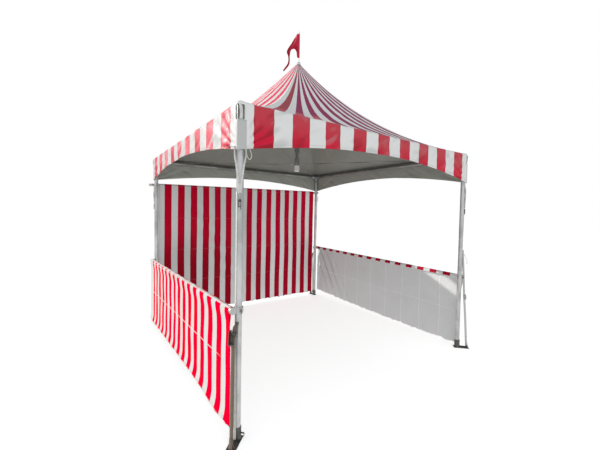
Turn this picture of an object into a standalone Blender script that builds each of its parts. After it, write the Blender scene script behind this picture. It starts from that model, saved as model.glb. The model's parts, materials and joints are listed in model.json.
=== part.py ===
# High-peak frame tent, about ten feet square, with a striped canopy, one full wall and two half walls.
# Units are metres. The origin is on the ground at the centre of the tent, +Z is up and -Y is the open front.

import bpy
import bmesh
from math import cos, sin, sqrt, pi, atan2, radians
from mathutils import Matrix, Vector

# Driving dimensions: frame
LEG_OFFSET = 1.49          # leg axis from the tent's centre, along X and along Y
LEG_RADIUS = 0.0254        # two-inch round tube
EAVE_RADIUS = 0.0254
EAVE_Z = 2.3735            # axis of the eave tubes
SEAT = 0.0003              # clearance between pieces that touch
SOCKET_WALL = 0.0033       # wall of the corner sockets
SOCKET_REACH = 0.12        # length of a corner socket from the leg's axis
TUBE_STOP = 0.034          # end of each tube inside the corner, from the point where the axes meet
POST_EXTRA = 0.0005        # the upright socket is this much thicker than the eave sockets
ARM_BACK = 0.0175          # eave sockets behind the leg's axis, short of the canopy's corner
POST_CROWN = 0.0065         # top of the upright socket above the eave tubes' axes
ROUND_SIDES = 28
SMALL_SIDES = 14
CUT_OVERRUN = 0.02         # how far a cutter runs past the face that it cuts
SLIVER = 0.00008           # shortest edge kept where round pieces are joined
POLE_POINT = 0.00001       # points of a turned shape closer than this, on its axis, become one
SMOOTH_ANGLE = radians(32)       # faces that meet at less than this are shaded as one

# Driving dimensions: feet
PLATE_THICKNESS = 0.008
PLATE_WIDTH = 0.070
PLATE_INNER = 0.038        # reach of the foot plate from the leg's axis towards the tent
PLATE_OUTER = 0.134        # reach of the foot plate away from the tent, past its strap eye
FOOT_SOCKET_HEIGHT = 0.09
FOOT_SOCKET_RADIUS = 0.0305
EYE_OFFSET = 0.112         # strap eye from the leg's axis
EYE_HEIGHT = 0.034
EYE_THICKNESS = 0.006
EYE_WIDTH = 0.044

# Driving dimensions: centre mast
MAST_CAP_RADIUS = 0.035
MAST_CAP_RIM = 0.008       # chamfer round the cap's lower edge
MAST_CAP_Z = (2.218, 2.2947)
COLLAR_RADIUS = 0.0325
COLLAR_Z = (2.295, 2.39)
JACK_RADIUS = 0.020
JACK_TOP_Z = 2.4677
MAST_RADIUS = 0.0325
MAST_TOP_Z = 3.52
CROWN_RADIUS = 0.020
CROWN_TOP_Z = 3.674
CROWN_SHOULDER = 0.03      # height of the crown's wide foot, on the tube
CROWN_NECK = 0.075         # height at which the crown has narrowed
CROWN_TIP = (0.008, 0.006)       # chamfer at the crown's top: across, down
POLE_RADIUS = 0.006
POLE_TOP_Z = 4.075
CABLE_RADIUS = 0.004
COLLAR_FLAT = 0.0003       # a cable end stands this much further off, for the flats round the collar
CABLE_INNER_Z = 2.3135
CABLE_OUTER_Z = 2.357
LUG_REACH = 0.052          # tip of the corner's cable lug, from the leg's axis
LUG_THICKNESS = 0.008
LUG_HEIGHT = 0.034
LUG_DROP = 0.004           # middle of the lug below the cable's end

# Driving dimensions: canopy
CANOPY_HALF = 1.5255       # outer face of the valance from the centre
CANOPY_THICKNESS = 0.006
CANOPY_EAVE_Z = 2.4055     # outer edge where the roof turns down into the valance
ROOF_RISE = (0.4866, 0.4734, 0.2990)   # linear, square and cubic share of the rise to the peak
CROWN_OPENING = 0.027      # half width of the small opening at the peak
VALANCE_CORNER_Z = 2.098
VALANCE_MIDDLE_Z = 2.225
VALANCE_ROWS = 3
EAVE_FOLD_DROP = 0.7       # drop of the inner face at the eave fold, as a share of the thickness
SLOPE_STEP = 0.001         # half of the step over which the roof's slope is measured
ROOF_ROWS = 9
PANEL_COLUMNS = 12
MITRE_GAP = 0.00022        # setback of each panel's edge from the seam at the hip

# Driving dimensions: rails and walls
RAIL_RADIUS = 0.019
RAIL_OFFSET = 0.05         # rail axis outside the leg's axis
RAIL_OVERHANG = 0.088
RAIL_FRONT_OVERHANG = 0.0215
CLAMP_RADIUS = 0.0325
CLAMP_SLEEVE_RADIUS = 0.0262
CLAMP_HEIGHT = 0.044
WEB_PLACE = 0.55           # middle of a clamp's web, as a share of the way from the leg to the rail
WEB_LENGTH = 0.7           # length of the web, as a share of that way
WEB_HEIGHT = 0.8           # height and width of the web, as a share of the clamp's height
LEFT_RAIL_Z = (0.955, 0.913)     # at the front leg, at the rear leg
RIGHT_RAIL_Z = (0.890, 0.965)
REAR_RAIL_Z = (2.030, 2.071)     # at the left leg, at the right leg
CLOTH = 0.0045
FLAP_HEIGHT = 0.016
LOOP_RADIUS = 0.02315      # inside of the loop that the cloth makes over its rail
LOOP_STEPS = 12            # flats in the half turn of that loop
LEFT_WALL_BOTTOM_Z = (0.150, 0.058)      # at the front leg, at the rear leg
RIGHT_WALL_BOTTOM_Z = (0.020, 0.102)
HALF_WALL_FRONT = -1.505
FLAP_SPAN = (-1.449, 1.445)
REAR_WALL_SPAN = (-1.4565, 1.448)
REAR_WALL_BOTTOM_Z = 0.095

# Driving dimensions: straps
STRAP_WIDTH = 0.022
STRAP_THICKNESS = 0.003
STRAP_GAP = 0.0006         # strap's inner face from the leg's surface
CANOPY_STRAP_LOW_Z = 1.70
FRONT_STRAP_HIGH_Z = 2.2525      # up to the corner fitting
REAR_STRAP_HIGH_Z = 2.0035       # up to the rear rail's clamp
BUCKLE_SIZE = (0.030, 0.012, 0.085)
BUCKLE_Z = 1.70
TIE_SEAT = 0.0021          # middle of a tie-down strap from the leg's surface
TIE_TAIL = 0.04            # a tie-down lies along the leg for this length above its first bend
TIE_BEND = 0.001           # the strap's inner bends sit this much lower than its outer ones
LONG_TIE_Z = 1.20          # first bend of the long tie-down, at the front right
LONG_TIE_RATCHET = (0.066, 0.66)        # ratchet's end of the strap: from the leg's axis, height
SHORT_TIE_Z = 0.84
SHORT_TIE_RATCHET = (0.080, 0.800)
TIE_END = (0.006, 0.012)   # foot of the strap: short of the eye, height
RATCHET_SIZE = (0.044, 0.030, 0.095)
RATCHET_SHIFT = (0.002, -0.02)   # middle of the ratchet from the strap's second bend: outwards, up

# Driving dimensions: pennant
PENNANT_THICKNESS = 0.012
PENNANT_HEADING = radians(-34.9)   # the pennant hangs across this line of sight
PENNANT_HOIST = POLE_RADIUS + SEAT      # the edge that is held along the pole
PENNANT_OUTLINE = (
    (PENNANT_HOIST, 4.045), (0.050, 3.985), (0.100, 3.900), (0.145, 3.825), (0.112, 3.745), (0.172, 3.605),
    (0.158, 3.590), (0.098, 3.700), (0.092, 3.800), (0.060, 3.868), (0.030, 3.850), (PENNANT_HOIST, 3.735),
)

# Finishes
ALUMINIUM = ("aluminium_tube", (0.62, 0.64, 0.66), 0.38, 0.9)
STEEL = ("galvanised_steel", (0.48, 0.49, 0.50), 0.45, 0.9)
WHITE_PLASTIC = ("white_plastic", (0.85, 0.85, 0.83), 0.4, 0.0)
CANOPY_VINYL = ("canopy_vinyl", (0.62, 0.05, 0.12), 0.35, 0.0)
WALL_VINYL = ("wall_vinyl", (0.60, 0.03, 0.10), 0.4, 0.0)
PENNANT_CLOTH = ("pennant_cloth", (0.55, 0.02, 0.04), 0.7, 0.0)
WEBBING = ("webbing", (0.42, 0.40, 0.36), 0.8, 0.0)

CORNERS = {
    "front_left": (-1, -1),
    "front_right": (1, -1),
    "rear_right": (1, 1),
    "rear_left": (-1, 1),
}
MODEL_CORNER = "front_left"    # pieces that repeat are modelled here, then turned about the tent's centre


def clear_scene():
    for old in list(bpy.data.objects):
        bpy.data.objects.remove(old, do_unlink=True)


def finish(name, colour, roughness, metallic):
    found = bpy.data.materials.get(name)
    if found:
        return found
    material = bpy.data.materials.new(name)
    material.use_nodes = True
    shader = material.node_tree.nodes["Principled BSDF"]
    shader.inputs["Base Color"].default_value = (*colour, 1.0)
    shader.inputs["Roughness"].default_value = roughness
    shader.inputs["Metallic"].default_value = metallic
    return material


def add_object(name, bm, material, smooth=True):
    bmesh.ops.recalc_face_normals(bm, faces=bm.faces)
    mesh = bpy.data.meshes.new(name)
    bm.to_mesh(mesh)
    bm.free()
    if smooth:
        mesh.shade_smooth()
        mesh.set_sharp_from_angle(angle=SMOOTH_ANGLE)
    mesh.materials.append(finish(*material))
    obj = bpy.data.objects.new(name, mesh)
    bpy.context.scene.collection.objects.link(obj)
    return obj


def rod_matrix(start, end):
    start, end = Vector(start), Vector(end)
    turn = (end - start).to_track_quat("Z", "Y").to_matrix().to_4x4()
    return Matrix.Translation((start + end) / 2) @ turn, (end - start).length


def rod_mesh(start, end, radius, sides=ROUND_SIDES, twist=0.0):
    place, length = rod_matrix(start, end)
    place = place @ Matrix.Rotation(twist, 4, "Z")
    bm = bmesh.new()
    bmesh.ops.create_cone(
        bm, cap_ends=True, segments=sides, radius1=radius, radius2=radius, depth=length, matrix=place
    )
    return bm


def box_mesh(centre, size, turn=Matrix()):
    bm = bmesh.new()
    place = Matrix.Translation(centre) @ turn @ Matrix.Diagonal((*size, 1.0))
    bmesh.ops.create_cube(bm, size=1.0, matrix=place)
    return bm


def merge_slivers(mesh):
    """Points closer than SLIVER, left where round pieces cross, become one."""
    bm = bmesh.new()
    bm.from_mesh(mesh)
    bmesh.ops.remove_doubles(bm, verts=bm.verts, dist=SLIVER)
    bmesh.ops.dissolve_degenerate(bm, dist=SLIVER, edges=bm.edges)
    bm.to_mesh(mesh)
    bm.free()


def join_solids(name, first, added, cutters, material):
    """Union of solids, then cuts: each is a bmesh that becomes a helper object for one step."""
    body = add_object(name, first, material)
    steps = [(bm, "UNION") for bm in added] + [(bm, "DIFFERENCE") for bm in cutters]
    for number, (bm, operation) in enumerate(steps):
        helper = add_object(f"{name}_tool_{number}", bm, material)
        step = body.modifiers.new("join", "BOOLEAN")
        step.operation = operation
        step.solver = "EXACT"
        step.object = helper
        evaluated = body.evaluated_get(bpy.context.evaluated_depsgraph_get())
        joined = bpy.data.meshes.new_from_object(evaluated)
        body.modifiers.clear()
        body.data = joined
        bpy.data.objects.remove(helper, do_unlink=True)
    merge_slivers(body.data)
    body.data.name = name
    body.data.shade_smooth()
    body.data.set_sharp_from_angle(angle=SMOOTH_ANGLE)
    return body


def leg_axis(corner):
    side_x, side_y = CORNERS[corner]
    return Vector((side_x * LEG_OFFSET, side_y * LEG_OFFSET, 0.0))


def outward(corner):
    side_x, side_y = CORNERS[corner]
    return Vector((side_x, side_y, 0.0)).normalized()


def heading_turn(direction):
    return Matrix.Rotation(atan2(direction.y, direction.x), 4, "Z")


def repeat_round_tent(first, stem):
    """Names the piece at the front left and puts a copy of it at each other corner by quarter turns."""
    first.name = f"{stem}_{MODEL_CORNER}"
    for turns, corner in enumerate(CORNERS):
        if corner != MODEL_CORNER:
            copy = bpy.data.objects.new(f"{stem}_{corner}", first.data)
            copy.rotation_euler.z = turns * pi / 2
            bpy.context.scene.collection.objects.link(copy)


# Legs stand on their foot plates and end inside the corner fittings
def make_legs():
    for corner in CORNERS:
        axis = leg_axis(corner)
        low = axis + Vector((0, 0, PLATE_THICKNESS + SEAT))
        high = axis + Vector((0, 0, EAVE_Z - TUBE_STOP - SEAT))
        add_object(f"leg_{corner}", rod_mesh(low, high, LEG_RADIUS), ALUMINIUM)


def tie_heading(corner):
    """Direction from a leg to its strap eye: along the diagonal at the front, straight back at the rear."""
    return Vector((0, 1, 0)) if corner.startswith("rear") else outward(corner)


def plate_reach(corner):
    """Reach of a foot plate from the leg: the straight rear plates end level with the corners of the turned ones."""
    return (PLATE_OUTER + PLATE_WIDTH / 2) * sqrt(0.5) if corner.startswith("rear") else PLATE_OUTER


# Each foot is a plate that reaches out under the tie-down, with a socket and a strap eye
def make_feet():
    for corner in CORNERS:
        axis = leg_axis(corner)
        away = tie_heading(corner)
        turn = heading_turn(away)
        reach = plate_reach(corner)
        middle = axis + away * (reach - PLATE_INNER) / 2 + Vector((0, 0, PLATE_THICKNESS / 2))
        plate = box_mesh(middle, (reach + PLATE_INNER, PLATE_WIDTH, PLATE_THICKNESS), turn)
        base = axis + Vector((0, 0, PLATE_THICKNESS / 2))
        socket_top = axis + Vector((0, 0, PLATE_THICKNESS + FOOT_SOCKET_HEIGHT))
        socket = rod_mesh(base, socket_top, FOOT_SOCKET_RADIUS)
        eye_centre = axis + away * EYE_OFFSET + Vector((0, 0, PLATE_THICKNESS / 2 + EYE_HEIGHT / 2))
        eye = box_mesh(eye_centre, (EYE_THICKNESS, EYE_WIDTH, EYE_HEIGHT), turn)
        bore_top = socket_top + Vector((0, 0, CUT_OVERRUN))
        bore = rod_mesh(axis + Vector((0, 0, PLATE_THICKNESS)), bore_top, LEG_RADIUS + SEAT)
        join_solids(f"foot_{corner}", plate, [socket, eye], [bore], STEEL)


# A corner fitting sleeves the leg's top and the ends of two eave tubes, and holds a lug for the cross cable
def make_corners():
    radius = LEG_RADIUS + SOCKET_WALL
    axis = leg_axis(MODEL_CORNER)
    centre = axis + Vector((0, 0, EAVE_Z))
    inward = -outward(MODEL_CORNER)
    along_x = Vector((1, 0, 0))
    along_y = Vector((0, 1, 0))
    down = Vector((0, 0, -1))
    post = rod_mesh(centre + down * SOCKET_REACH, centre - down * POST_CROWN, radius + POST_EXTRA)
    arm_x = rod_mesh(centre - along_x * ARM_BACK, centre + along_x * SOCKET_REACH, radius)
    half_step = pi / ROUND_SIDES
    arm_y = rod_mesh(centre - along_y * ARM_BACK, centre + along_y * SOCKET_REACH, radius, twist=half_step)
    lug_centre = axis + inward * (LUG_REACH / 2) + Vector((0, 0, CABLE_OUTER_Z - LUG_DROP))
    lug = box_mesh(lug_centre, (LUG_REACH, LUG_THICKNESS, LUG_HEIGHT), heading_turn(inward))
    mouth = SOCKET_REACH + CUT_OVERRUN
    leg_bore = rod_mesh(centre + down * mouth, centre + down * TUBE_STOP, LEG_RADIUS + SEAT)
    bore_x = rod_mesh(centre + along_x * TUBE_STOP, centre + along_x * mouth, EAVE_RADIUS + SEAT)
    bore_y = rod_mesh(centre + along_y * TUBE_STOP, centre + along_y * mouth, EAVE_RADIUS + SEAT)
    fitting = join_solids("corner", post, [arm_x, arm_y, lug], [leg_bore, bore_x, bore_y], ALUMINIUM)
    repeat_round_tent(fitting, "corner")


def make_eaves():
    end = LEG_OFFSET - TUBE_STOP - SEAT
    runs = {
        "eave_front": ((-end, -LEG_OFFSET, EAVE_Z), (end, -LEG_OFFSET, EAVE_Z)),
        "eave_rear": ((-end, LEG_OFFSET, EAVE_Z), (end, LEG_OFFSET, EAVE_Z)),
        "eave_left": ((-LEG_OFFSET, -end, EAVE_Z), (-LEG_OFFSET, end, EAVE_Z)),
        "eave_right": ((LEG_OFFSET, -end, EAVE_Z), (LEG_OFFSET, end, EAVE_Z)),
    }
    for name, (start, stop) in runs.items():
        add_object(name, rod_mesh(start, stop, EAVE_RADIUS), ALUMINIUM)


def turned_mesh(profile, sides=ROUND_SIDES):
    """Solid of revolution about Z: the profile runs from the axis at the bottom to the axis at the top."""
    bm = bmesh.new()
    points = [bm.verts.new((radius, 0.0, height)) for radius, height in profile]
    edges = [bm.edges.new(pair) for pair in zip(points, points[1:])]
    bmesh.ops.spin(
        bm, geom=points + edges, cent=(0, 0, 0), axis=(0, 0, 1), angle=2 * pi, steps=sides, use_merge=True
    )
    bmesh.ops.remove_doubles(bm, verts=bm.verts, dist=POLE_POINT)
    return bm


# The mast floats on the cross cables: cap, jack with its collar, tube, and the crown that lifts the peak
def make_mast():
    cap_low, cap_high = MAST_CAP_Z
    add_object("mast_cap", turned_mesh([
        (0, cap_low), (MAST_CAP_RADIUS - MAST_CAP_RIM, cap_low), (MAST_CAP_RADIUS, cap_low + MAST_CAP_RIM),
        (MAST_CAP_RADIUS, cap_high), (0, cap_high),
    ]), WHITE_PLASTIC)
    collar_low, collar_high = COLLAR_Z
    add_object("mast_jack", turned_mesh([
        (0, collar_low), (COLLAR_RADIUS, collar_low), (COLLAR_RADIUS, collar_high),
        (JACK_RADIUS, collar_high), (JACK_RADIUS, JACK_TOP_Z), (0, JACK_TOP_Z),
    ]), ALUMINIUM)
    tube_low = JACK_TOP_Z + SEAT
    add_object("mast_tube", rod_mesh((0, 0, tube_low), (0, 0, MAST_TOP_Z), MAST_RADIUS), ALUMINIUM)
    crown_low = MAST_TOP_Z + SEAT
    shoulder_z = crown_low + CROWN_SHOULDER
    neck_z = crown_low + CROWN_NECK
    tip_across, tip_down = CROWN_TIP
    add_object("mast_crown", turned_mesh([
        (0, crown_low), (MAST_RADIUS, crown_low), (MAST_RADIUS, shoulder_z), (CROWN_RADIUS, neck_z),
        (CROWN_RADIUS, CROWN_TOP_Z - tip_down), (CROWN_RADIUS - tip_across, CROWN_TOP_Z), (0, CROWN_TOP_Z),
    ]), STEEL)
    pole_low = CROWN_TOP_Z + SEAT
    pole = rod_mesh((0, 0, pole_low), (0, 0, POLE_TOP_Z), POLE_RADIUS, SMALL_SIDES)
    add_object("flag_pole", pole, WHITE_PLASTIC)


# The pennant droops from the pole, seen flat across the heading line
def make_pennant():
    across = Vector((-cos(PENNANT_HEADING), -sin(PENNANT_HEADING), 0))
    through = Vector((across.y, -across.x, 0)) * PENNANT_THICKNESS
    bm = bmesh.new()
    outline = [across * reach + Vector((0, 0, height)) - through / 2 for reach, height in PENNANT_OUTLINE]
    rim = [bm.verts.new(point) for point in outline]
    face = bm.faces.new(rim)
    grown = bmesh.ops.extrude_face_region(bm, geom=[face])
    moved = [item for item in grown["geom"] if isinstance(item, bmesh.types.BMVert)]
    bmesh.ops.translate(bm, verts=moved, vec=through)
    add_object("pennant", bm, PENNANT_CLOTH, smooth=False)


def make_cables():
    for corner in CORNERS:
        away = outward(corner)
        inner = away * (COLLAR_RADIUS + SEAT + COLLAR_FLAT)
        outer = leg_axis(corner) - away * (LUG_REACH + SEAT)
        inner.z = CABLE_INNER_Z
        outer.z = CABLE_OUTER_Z
        add_object(f"cable_{corner}", rod_mesh(inner, outer, CABLE_RADIUS, SMALL_SIDES), STEEL)


def roof_height(reach):
    """Height of the canopy's outer surface at this distance from the centre, measured along X or Y."""
    share = 1 - reach / CANOPY_HALF
    linear, square, cubic = ROOF_RISE
    return CANOPY_EAVE_Z + share * (linear + share * (square + share * cubic))


def valance_bottom(across):
    """The hem rises in an arch from the corners to the middle of the side."""
    return VALANCE_MIDDLE_Z - (VALANCE_MIDDLE_Z - VALANCE_CORNER_Z) * across ** 2


# One canopy panel: valance and roof slope, mitred at the hips, grown inwards to its thickness
def canopy_panel_mesh():
    rows = VALANCE_ROWS + ROOF_ROWS
    bm = bmesh.new()
    bmesh.ops.create_grid(bm, x_segments=PANEL_COLUMNS, y_segments=rows - 1, size=1.0)
    bm.verts.ensure_lookup_table()
    station = {}
    for vert in bm.verts:
        across = vert.co.x
        row = round((vert.co.y + 1) / 2 * (rows - 1))
        station[vert.index] = (across, row)

    def place(across, row, depth):
        middle_z = (CANOPY_EAVE_Z + valance_bottom(across)) / 2
        if row < VALANCE_ROWS:
            reach = CANOPY_HALF - depth
            height = (valance_bottom(across), middle_z, CANOPY_EAVE_Z - depth * EAVE_FOLD_DROP)[row]
        else:
            step = (row - VALANCE_ROWS + 1) / ROOF_ROWS
            reach = CANOPY_HALF + (CROWN_OPENING - CANOPY_HALF) * step
            slope = (roof_height(reach - SLOPE_STEP) - roof_height(reach + SLOPE_STEP)) / (2 * SLOPE_STEP)
            height = roof_height(reach) - depth * (1 + slope ** 2) ** 0.5
        return Vector((across * (reach - MITRE_GAP), -reach, height))

    for vert in bm.verts:
        vert.co = place(*station[vert.index], 0.0)
    outer_faces = list(bm.faces)
    key = bm.verts.layers.int.new("station")
    for vert in bm.verts:
        vert[key] = vert.index
    grown = bmesh.ops.extrude_face_region(bm, geom=outer_faces, use_keep_orig=True)
    for item in grown["geom"]:
        if isinstance(item, bmesh.types.BMVert):
            item.co = place(*station[item[key]], CANOPY_THICKNESS)
    return bm


def make_canopy():
    for name, quarter_turns in (("front", 0), ("right", 1), ("rear", 2), ("left", 3)):
        bm = canopy_panel_mesh()
        bmesh.ops.rotate(bm, verts=bm.verts, matrix=Matrix.Rotation(quarter_turns * pi / 2, 3, "Z"))
        add_object(f"canopy_{name}", bm, CANOPY_VINYL)


def clamp_parts(leg, rail_point, rail_direction):
    """Leg ring, rail sleeve and the web between them, and the bore for the leg."""
    half = Vector((0, 0, CLAMP_HEIGHT / 2))
    ring_centre = Vector((leg.x, leg.y, rail_point.z))
    ring = rod_mesh(ring_centre - half, ring_centre + half, CLAMP_RADIUS)
    along = rail_direction.normalized() * CLAMP_HEIGHT / 2
    sleeve = rod_mesh(rail_point - along, rail_point + along, CLAMP_SLEEVE_RADIUS)
    bridge = rail_point - ring_centre
    web_side = CLAMP_HEIGHT * WEB_HEIGHT
    web_size = (bridge.length * WEB_LENGTH, web_side, web_side)
    web = box_mesh(ring_centre + bridge * WEB_PLACE, web_size, heading_turn(bridge))
    bore = rod_mesh(ring_centre - half * 2, ring_centre + half * 2, LEG_RADIUS + SEAT)
    return [ring, sleeve, web], [bore]


# Rails run outside the legs, and each end is held to its leg by a clamp
def make_rail(name, first_leg, last_leg, shift, heights, overhangs):
    first = Vector((first_leg.x, first_leg.y, heights[0])) + shift
    last = Vector((last_leg.x, last_leg.y, heights[1])) + shift
    direction = (last - first).normalized()
    tube = rod_mesh(first - direction * overhangs[0], last + direction * overhangs[1], RAIL_RADIUS)
    added, cutters = [], []
    for leg, point in ((first_leg, first), (last_leg, last)):
        solids, bores = clamp_parts(leg, point, direction)
        added += solids
        cutters += bores
    join_solids(name, tube, added, cutters, ALUMINIUM)


def make_rails():
    legs = {corner: leg_axis(corner) for corner in CORNERS}
    left = Vector((-RAIL_OFFSET, 0, 0))
    rear = Vector((0, RAIL_OFFSET, 0))
    side_ends = (RAIL_FRONT_OVERHANG, RAIL_OVERHANG)
    make_rail("rail_left", legs["front_left"], legs["rear_left"], left, LEFT_RAIL_Z, side_ends)
    make_rail("rail_right", legs["front_right"], legs["rear_right"], -left, RIGHT_RAIL_Z, side_ends)
    rear_ends = (RAIL_OVERHANG, RAIL_OVERHANG)
    make_rail("rail_rear", legs["rear_left"], legs["rear_right"], rear, REAR_RAIL_Z, rear_ends)


def loop_profile(drop, hang_side):
    """Cross-section of a wall over its rail: (offset, height) pairs from the rail's axis.

    The long sheet hangs on the side hang_side of the loop's centre, the flap on the other.
    """
    inner = LOOP_RADIUS
    outer = LOOP_RADIUS + CLOTH
    arc = [pi * k / LOOP_STEPS for k in range(LOOP_STEPS + 1)]
    outside = [(hang_side * outer * cos(a), outer * sin(a)) for a in arc]
    inside = [(hang_side * inner * cos(a), inner * sin(a)) for a in reversed(arc)]
    flap_end = [(-hang_side * outer, -FLAP_HEIGHT), (-hang_side * inner, -FLAP_HEIGHT)]
    sheet_end = [(hang_side * inner, -drop), (hang_side * outer, -drop)]
    return outside, inside, flap_end, sheet_end


def loop_offset():
    """The loop hangs off centre, so that the flats inside it just clear the rail on the tent's side."""
    return LOOP_RADIUS * cos(pi / (2 * LOOP_STEPS)) - RAIL_RADIUS - SEAT


def wall_mesh(centre_line, across, drops, hang_side):
    """Closed solid of a hung wall: the profile at each end of the rail, bridged along it.

    centre_line gives the loop's centre at both ends, and across is the outward direction.
    """
    bm = bmesh.new()
    loops = []
    for centre, drop in zip(centre_line, drops):
        outside, inside, flap_end, sheet_end = loop_profile(drop, hang_side)
        ring = outside + flap_end + inside + sheet_end
        loops.append([bm.verts.new(centre + across * o + Vector((0, 0, h))) for o, h in ring])
    first, last = loops
    count = len(first)
    for k in range(count):
        bm.faces.new((first[k], first[(k + 1) % count], last[(k + 1) % count], last[k]))
    bm.faces.new(first)
    bm.faces.new(list(reversed(last)))
    return bm


def along_side(heights, place):
    """Height between two legs, at a coordinate along that side of the tent."""
    share = (place + LEG_OFFSET) / (2 * LEG_OFFSET)
    return heights[0] + (heights[1] - heights[0]) * share


# The half walls fold over their rails: stripes outside, a short flap inside
def make_half_walls():
    loop_shift = loop_offset()
    sides = (
        ("wall_left", -1, LEFT_RAIL_Z, LEFT_WALL_BOTTOM_Z),
        ("wall_right", 1, RIGHT_RAIL_Z, RIGHT_WALL_BOTTOM_Z),
    )
    for name, side, rail_z, bottom_z in sides:
        centre_x = side * (LEG_OFFSET + RAIL_OFFSET + loop_shift)
        line = [Vector((centre_x, y, along_side(rail_z, y))) for y in FLAP_SPAN]
        drops = [point.z - along_side(bottom_z, point.y) for point in line]
        body = wall_mesh(line, Vector((side, 0, 0)), drops, 1)
        sheet_x = centre_x + side * (LOOP_RADIUS + CLOTH / 2)
        edge = edge_sheet(sheet_x, FLAP_SPAN[0] + CUT_OVERRUN, HALF_WALL_FRONT, rail_z, bottom_z)
        join_solids(name, body, [edge], [], WALL_VINYL)


def edge_sheet(sheet_x, inner_y, outer_y, rail_z, bottom_z):
    """The front edge of the long sheet, which runs on past the clamp as a single layer."""
    bm = bmesh.new()
    rim = []
    for y, heights in ((inner_y, bottom_z), (outer_y, bottom_z), (outer_y, rail_z), (inner_y, rail_z)):
        rim.append(bm.verts.new((sheet_x - CLOTH / 2, y, along_side(heights, y))))
    face = bm.faces.new(rim)
    grown = bmesh.ops.extrude_face_region(bm, geom=[face])
    moved = [item for item in grown["geom"] if isinstance(item, bmesh.types.BMVert)]
    bmesh.ops.translate(bm, verts=moved, vec=(CLOTH, 0, 0))
    return bm


# The rear wall hangs on the tent's side of its rail, with the flap behind
def make_rear_wall():
    loop_shift = loop_offset()
    centre_y = LEG_OFFSET + RAIL_OFFSET + loop_shift
    line = [Vector((x, centre_y, along_side(REAR_RAIL_Z, x))) for x in REAR_WALL_SPAN]
    drops = [point.z - REAR_WALL_BOTTOM_Z for point in line]
    add_object("wall_rear", wall_mesh(line, Vector((0, 1, 0)), drops, -1), WALL_VINYL)


# A canopy strap runs down the outer side of its leg to a ring and buckle
def make_canopy_straps():
    for corner, (side_x, side_y) in CORNERS.items():
        away = outward(corner)
        turn = heading_turn(away)
        high = FRONT_STRAP_HIGH_Z if side_y < 0 else REAR_STRAP_HIGH_Z
        centre = leg_axis(corner) + away * (LEG_RADIUS + STRAP_GAP + STRAP_THICKNESS / 2)
        centre.z = (CANOPY_STRAP_LOW_Z + high) / 2
        web = box_mesh(centre, (STRAP_THICKNESS, STRAP_WIDTH, high - CANOPY_STRAP_LOW_Z), turn)
        width, depth, length = BUCKLE_SIZE
        buckle_centre = leg_axis(corner) + away * (LEG_RADIUS + STRAP_GAP + depth / 2)
        buckle_centre.z = BUCKLE_Z
        buckle = box_mesh(buckle_centre, (depth, width, length), turn)
        join_solids(f"canopy_strap_{corner}", web, [buckle], [], WEBBING)


# A tie-down strap leaves the leg and runs through its ratchet to the eye on the foot plate
def make_tie_downs():
    short_of_eye, end_z = TIE_END
    end = (EYE_OFFSET - short_of_eye, end_z)
    long_route = ((LEG_RADIUS + TIE_SEAT, LONG_TIE_Z), LONG_TIE_RATCHET, end)
    short_route = ((LEG_RADIUS + TIE_SEAT, SHORT_TIE_Z), SHORT_TIE_RATCHET, end)
    shift_out, shift_up = RATCHET_SHIFT
    for corner in CORNERS:
        route = long_route if corner == "front_right" else short_route
        away = tie_heading(corner)
        turn = heading_turn(away)
        (d0, z0), (d1, z1), (d2, z2) = route
        axis = leg_axis(corner)
        half = STRAP_THICKNESS / 2
        outline = [
            (d0 - half, z0 + TIE_TAIL), (d0 + half, z0 + TIE_TAIL), (d0 + half, z0),
            (d1 + half, z1), (d2 + half, z2), (d2 - half, z2),
            (d1 - half, z1 - TIE_BEND), (d0 - half, z0 - TIE_BEND),
        ]
        bm = bmesh.new()
        rim = [bm.verts.new((d, -STRAP_WIDTH / 2, z)) for d, z in outline]
        face = bm.faces.new(rim)
        grown = bmesh.ops.extrude_face_region(bm, geom=[face])
        moved = [item for item in grown["geom"] if isinstance(item, bmesh.types.BMVert)]
        bmesh.ops.translate(bm, verts=moved, vec=(0, STRAP_WIDTH, 0))
        bmesh.ops.transform(bm, verts=bm.verts, matrix=Matrix.Translation(axis) @ turn)
        width, depth, length = RATCHET_SIZE
        ratchet_centre = axis + away * (d1 + shift_out) + Vector((0, 0, z1 + shift_up))
        ratchet = box_mesh(ratchet_centre, (depth, width, length), turn)
        join_solids(f"tie_down_{corner}", bm, [ratchet], [], WEBBING)


def build_tent():
    clear_scene()
    make_legs()
    make_feet()
    make_corners()
    make_eaves()
    make_mast()
    make_pennant()
    make_cables()
    make_canopy()
    make_rails()
    make_half_walls()
    make_rear_wall()
    make_canopy_straps()
    make_tie_downs()


build_tent()
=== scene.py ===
# %% [markdown]
# # A striped frame tent
# The tent is a square frame of aluminium tubes with a pointed canopy of red and white vinyl. The imported frame
# already holds the tubes, feet and fittings at their true sizes. This lesson dresses it: the cloths are cut flat
# and draped over the frame, the straps are threaded, and each surface gets a material. Several of the colours also
# paint light and shade: glare, sunlight, and the shade in hollows and under the canopy.

# %% Load the imported frame
import json
from math import atan2, ceil, cos, exp, hypot, pi, radians, sin, tan

import bmesh
import bpy
from mathutils import Matrix, Vector, noise
from mathutils.geometry import interpolate_bezier

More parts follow.
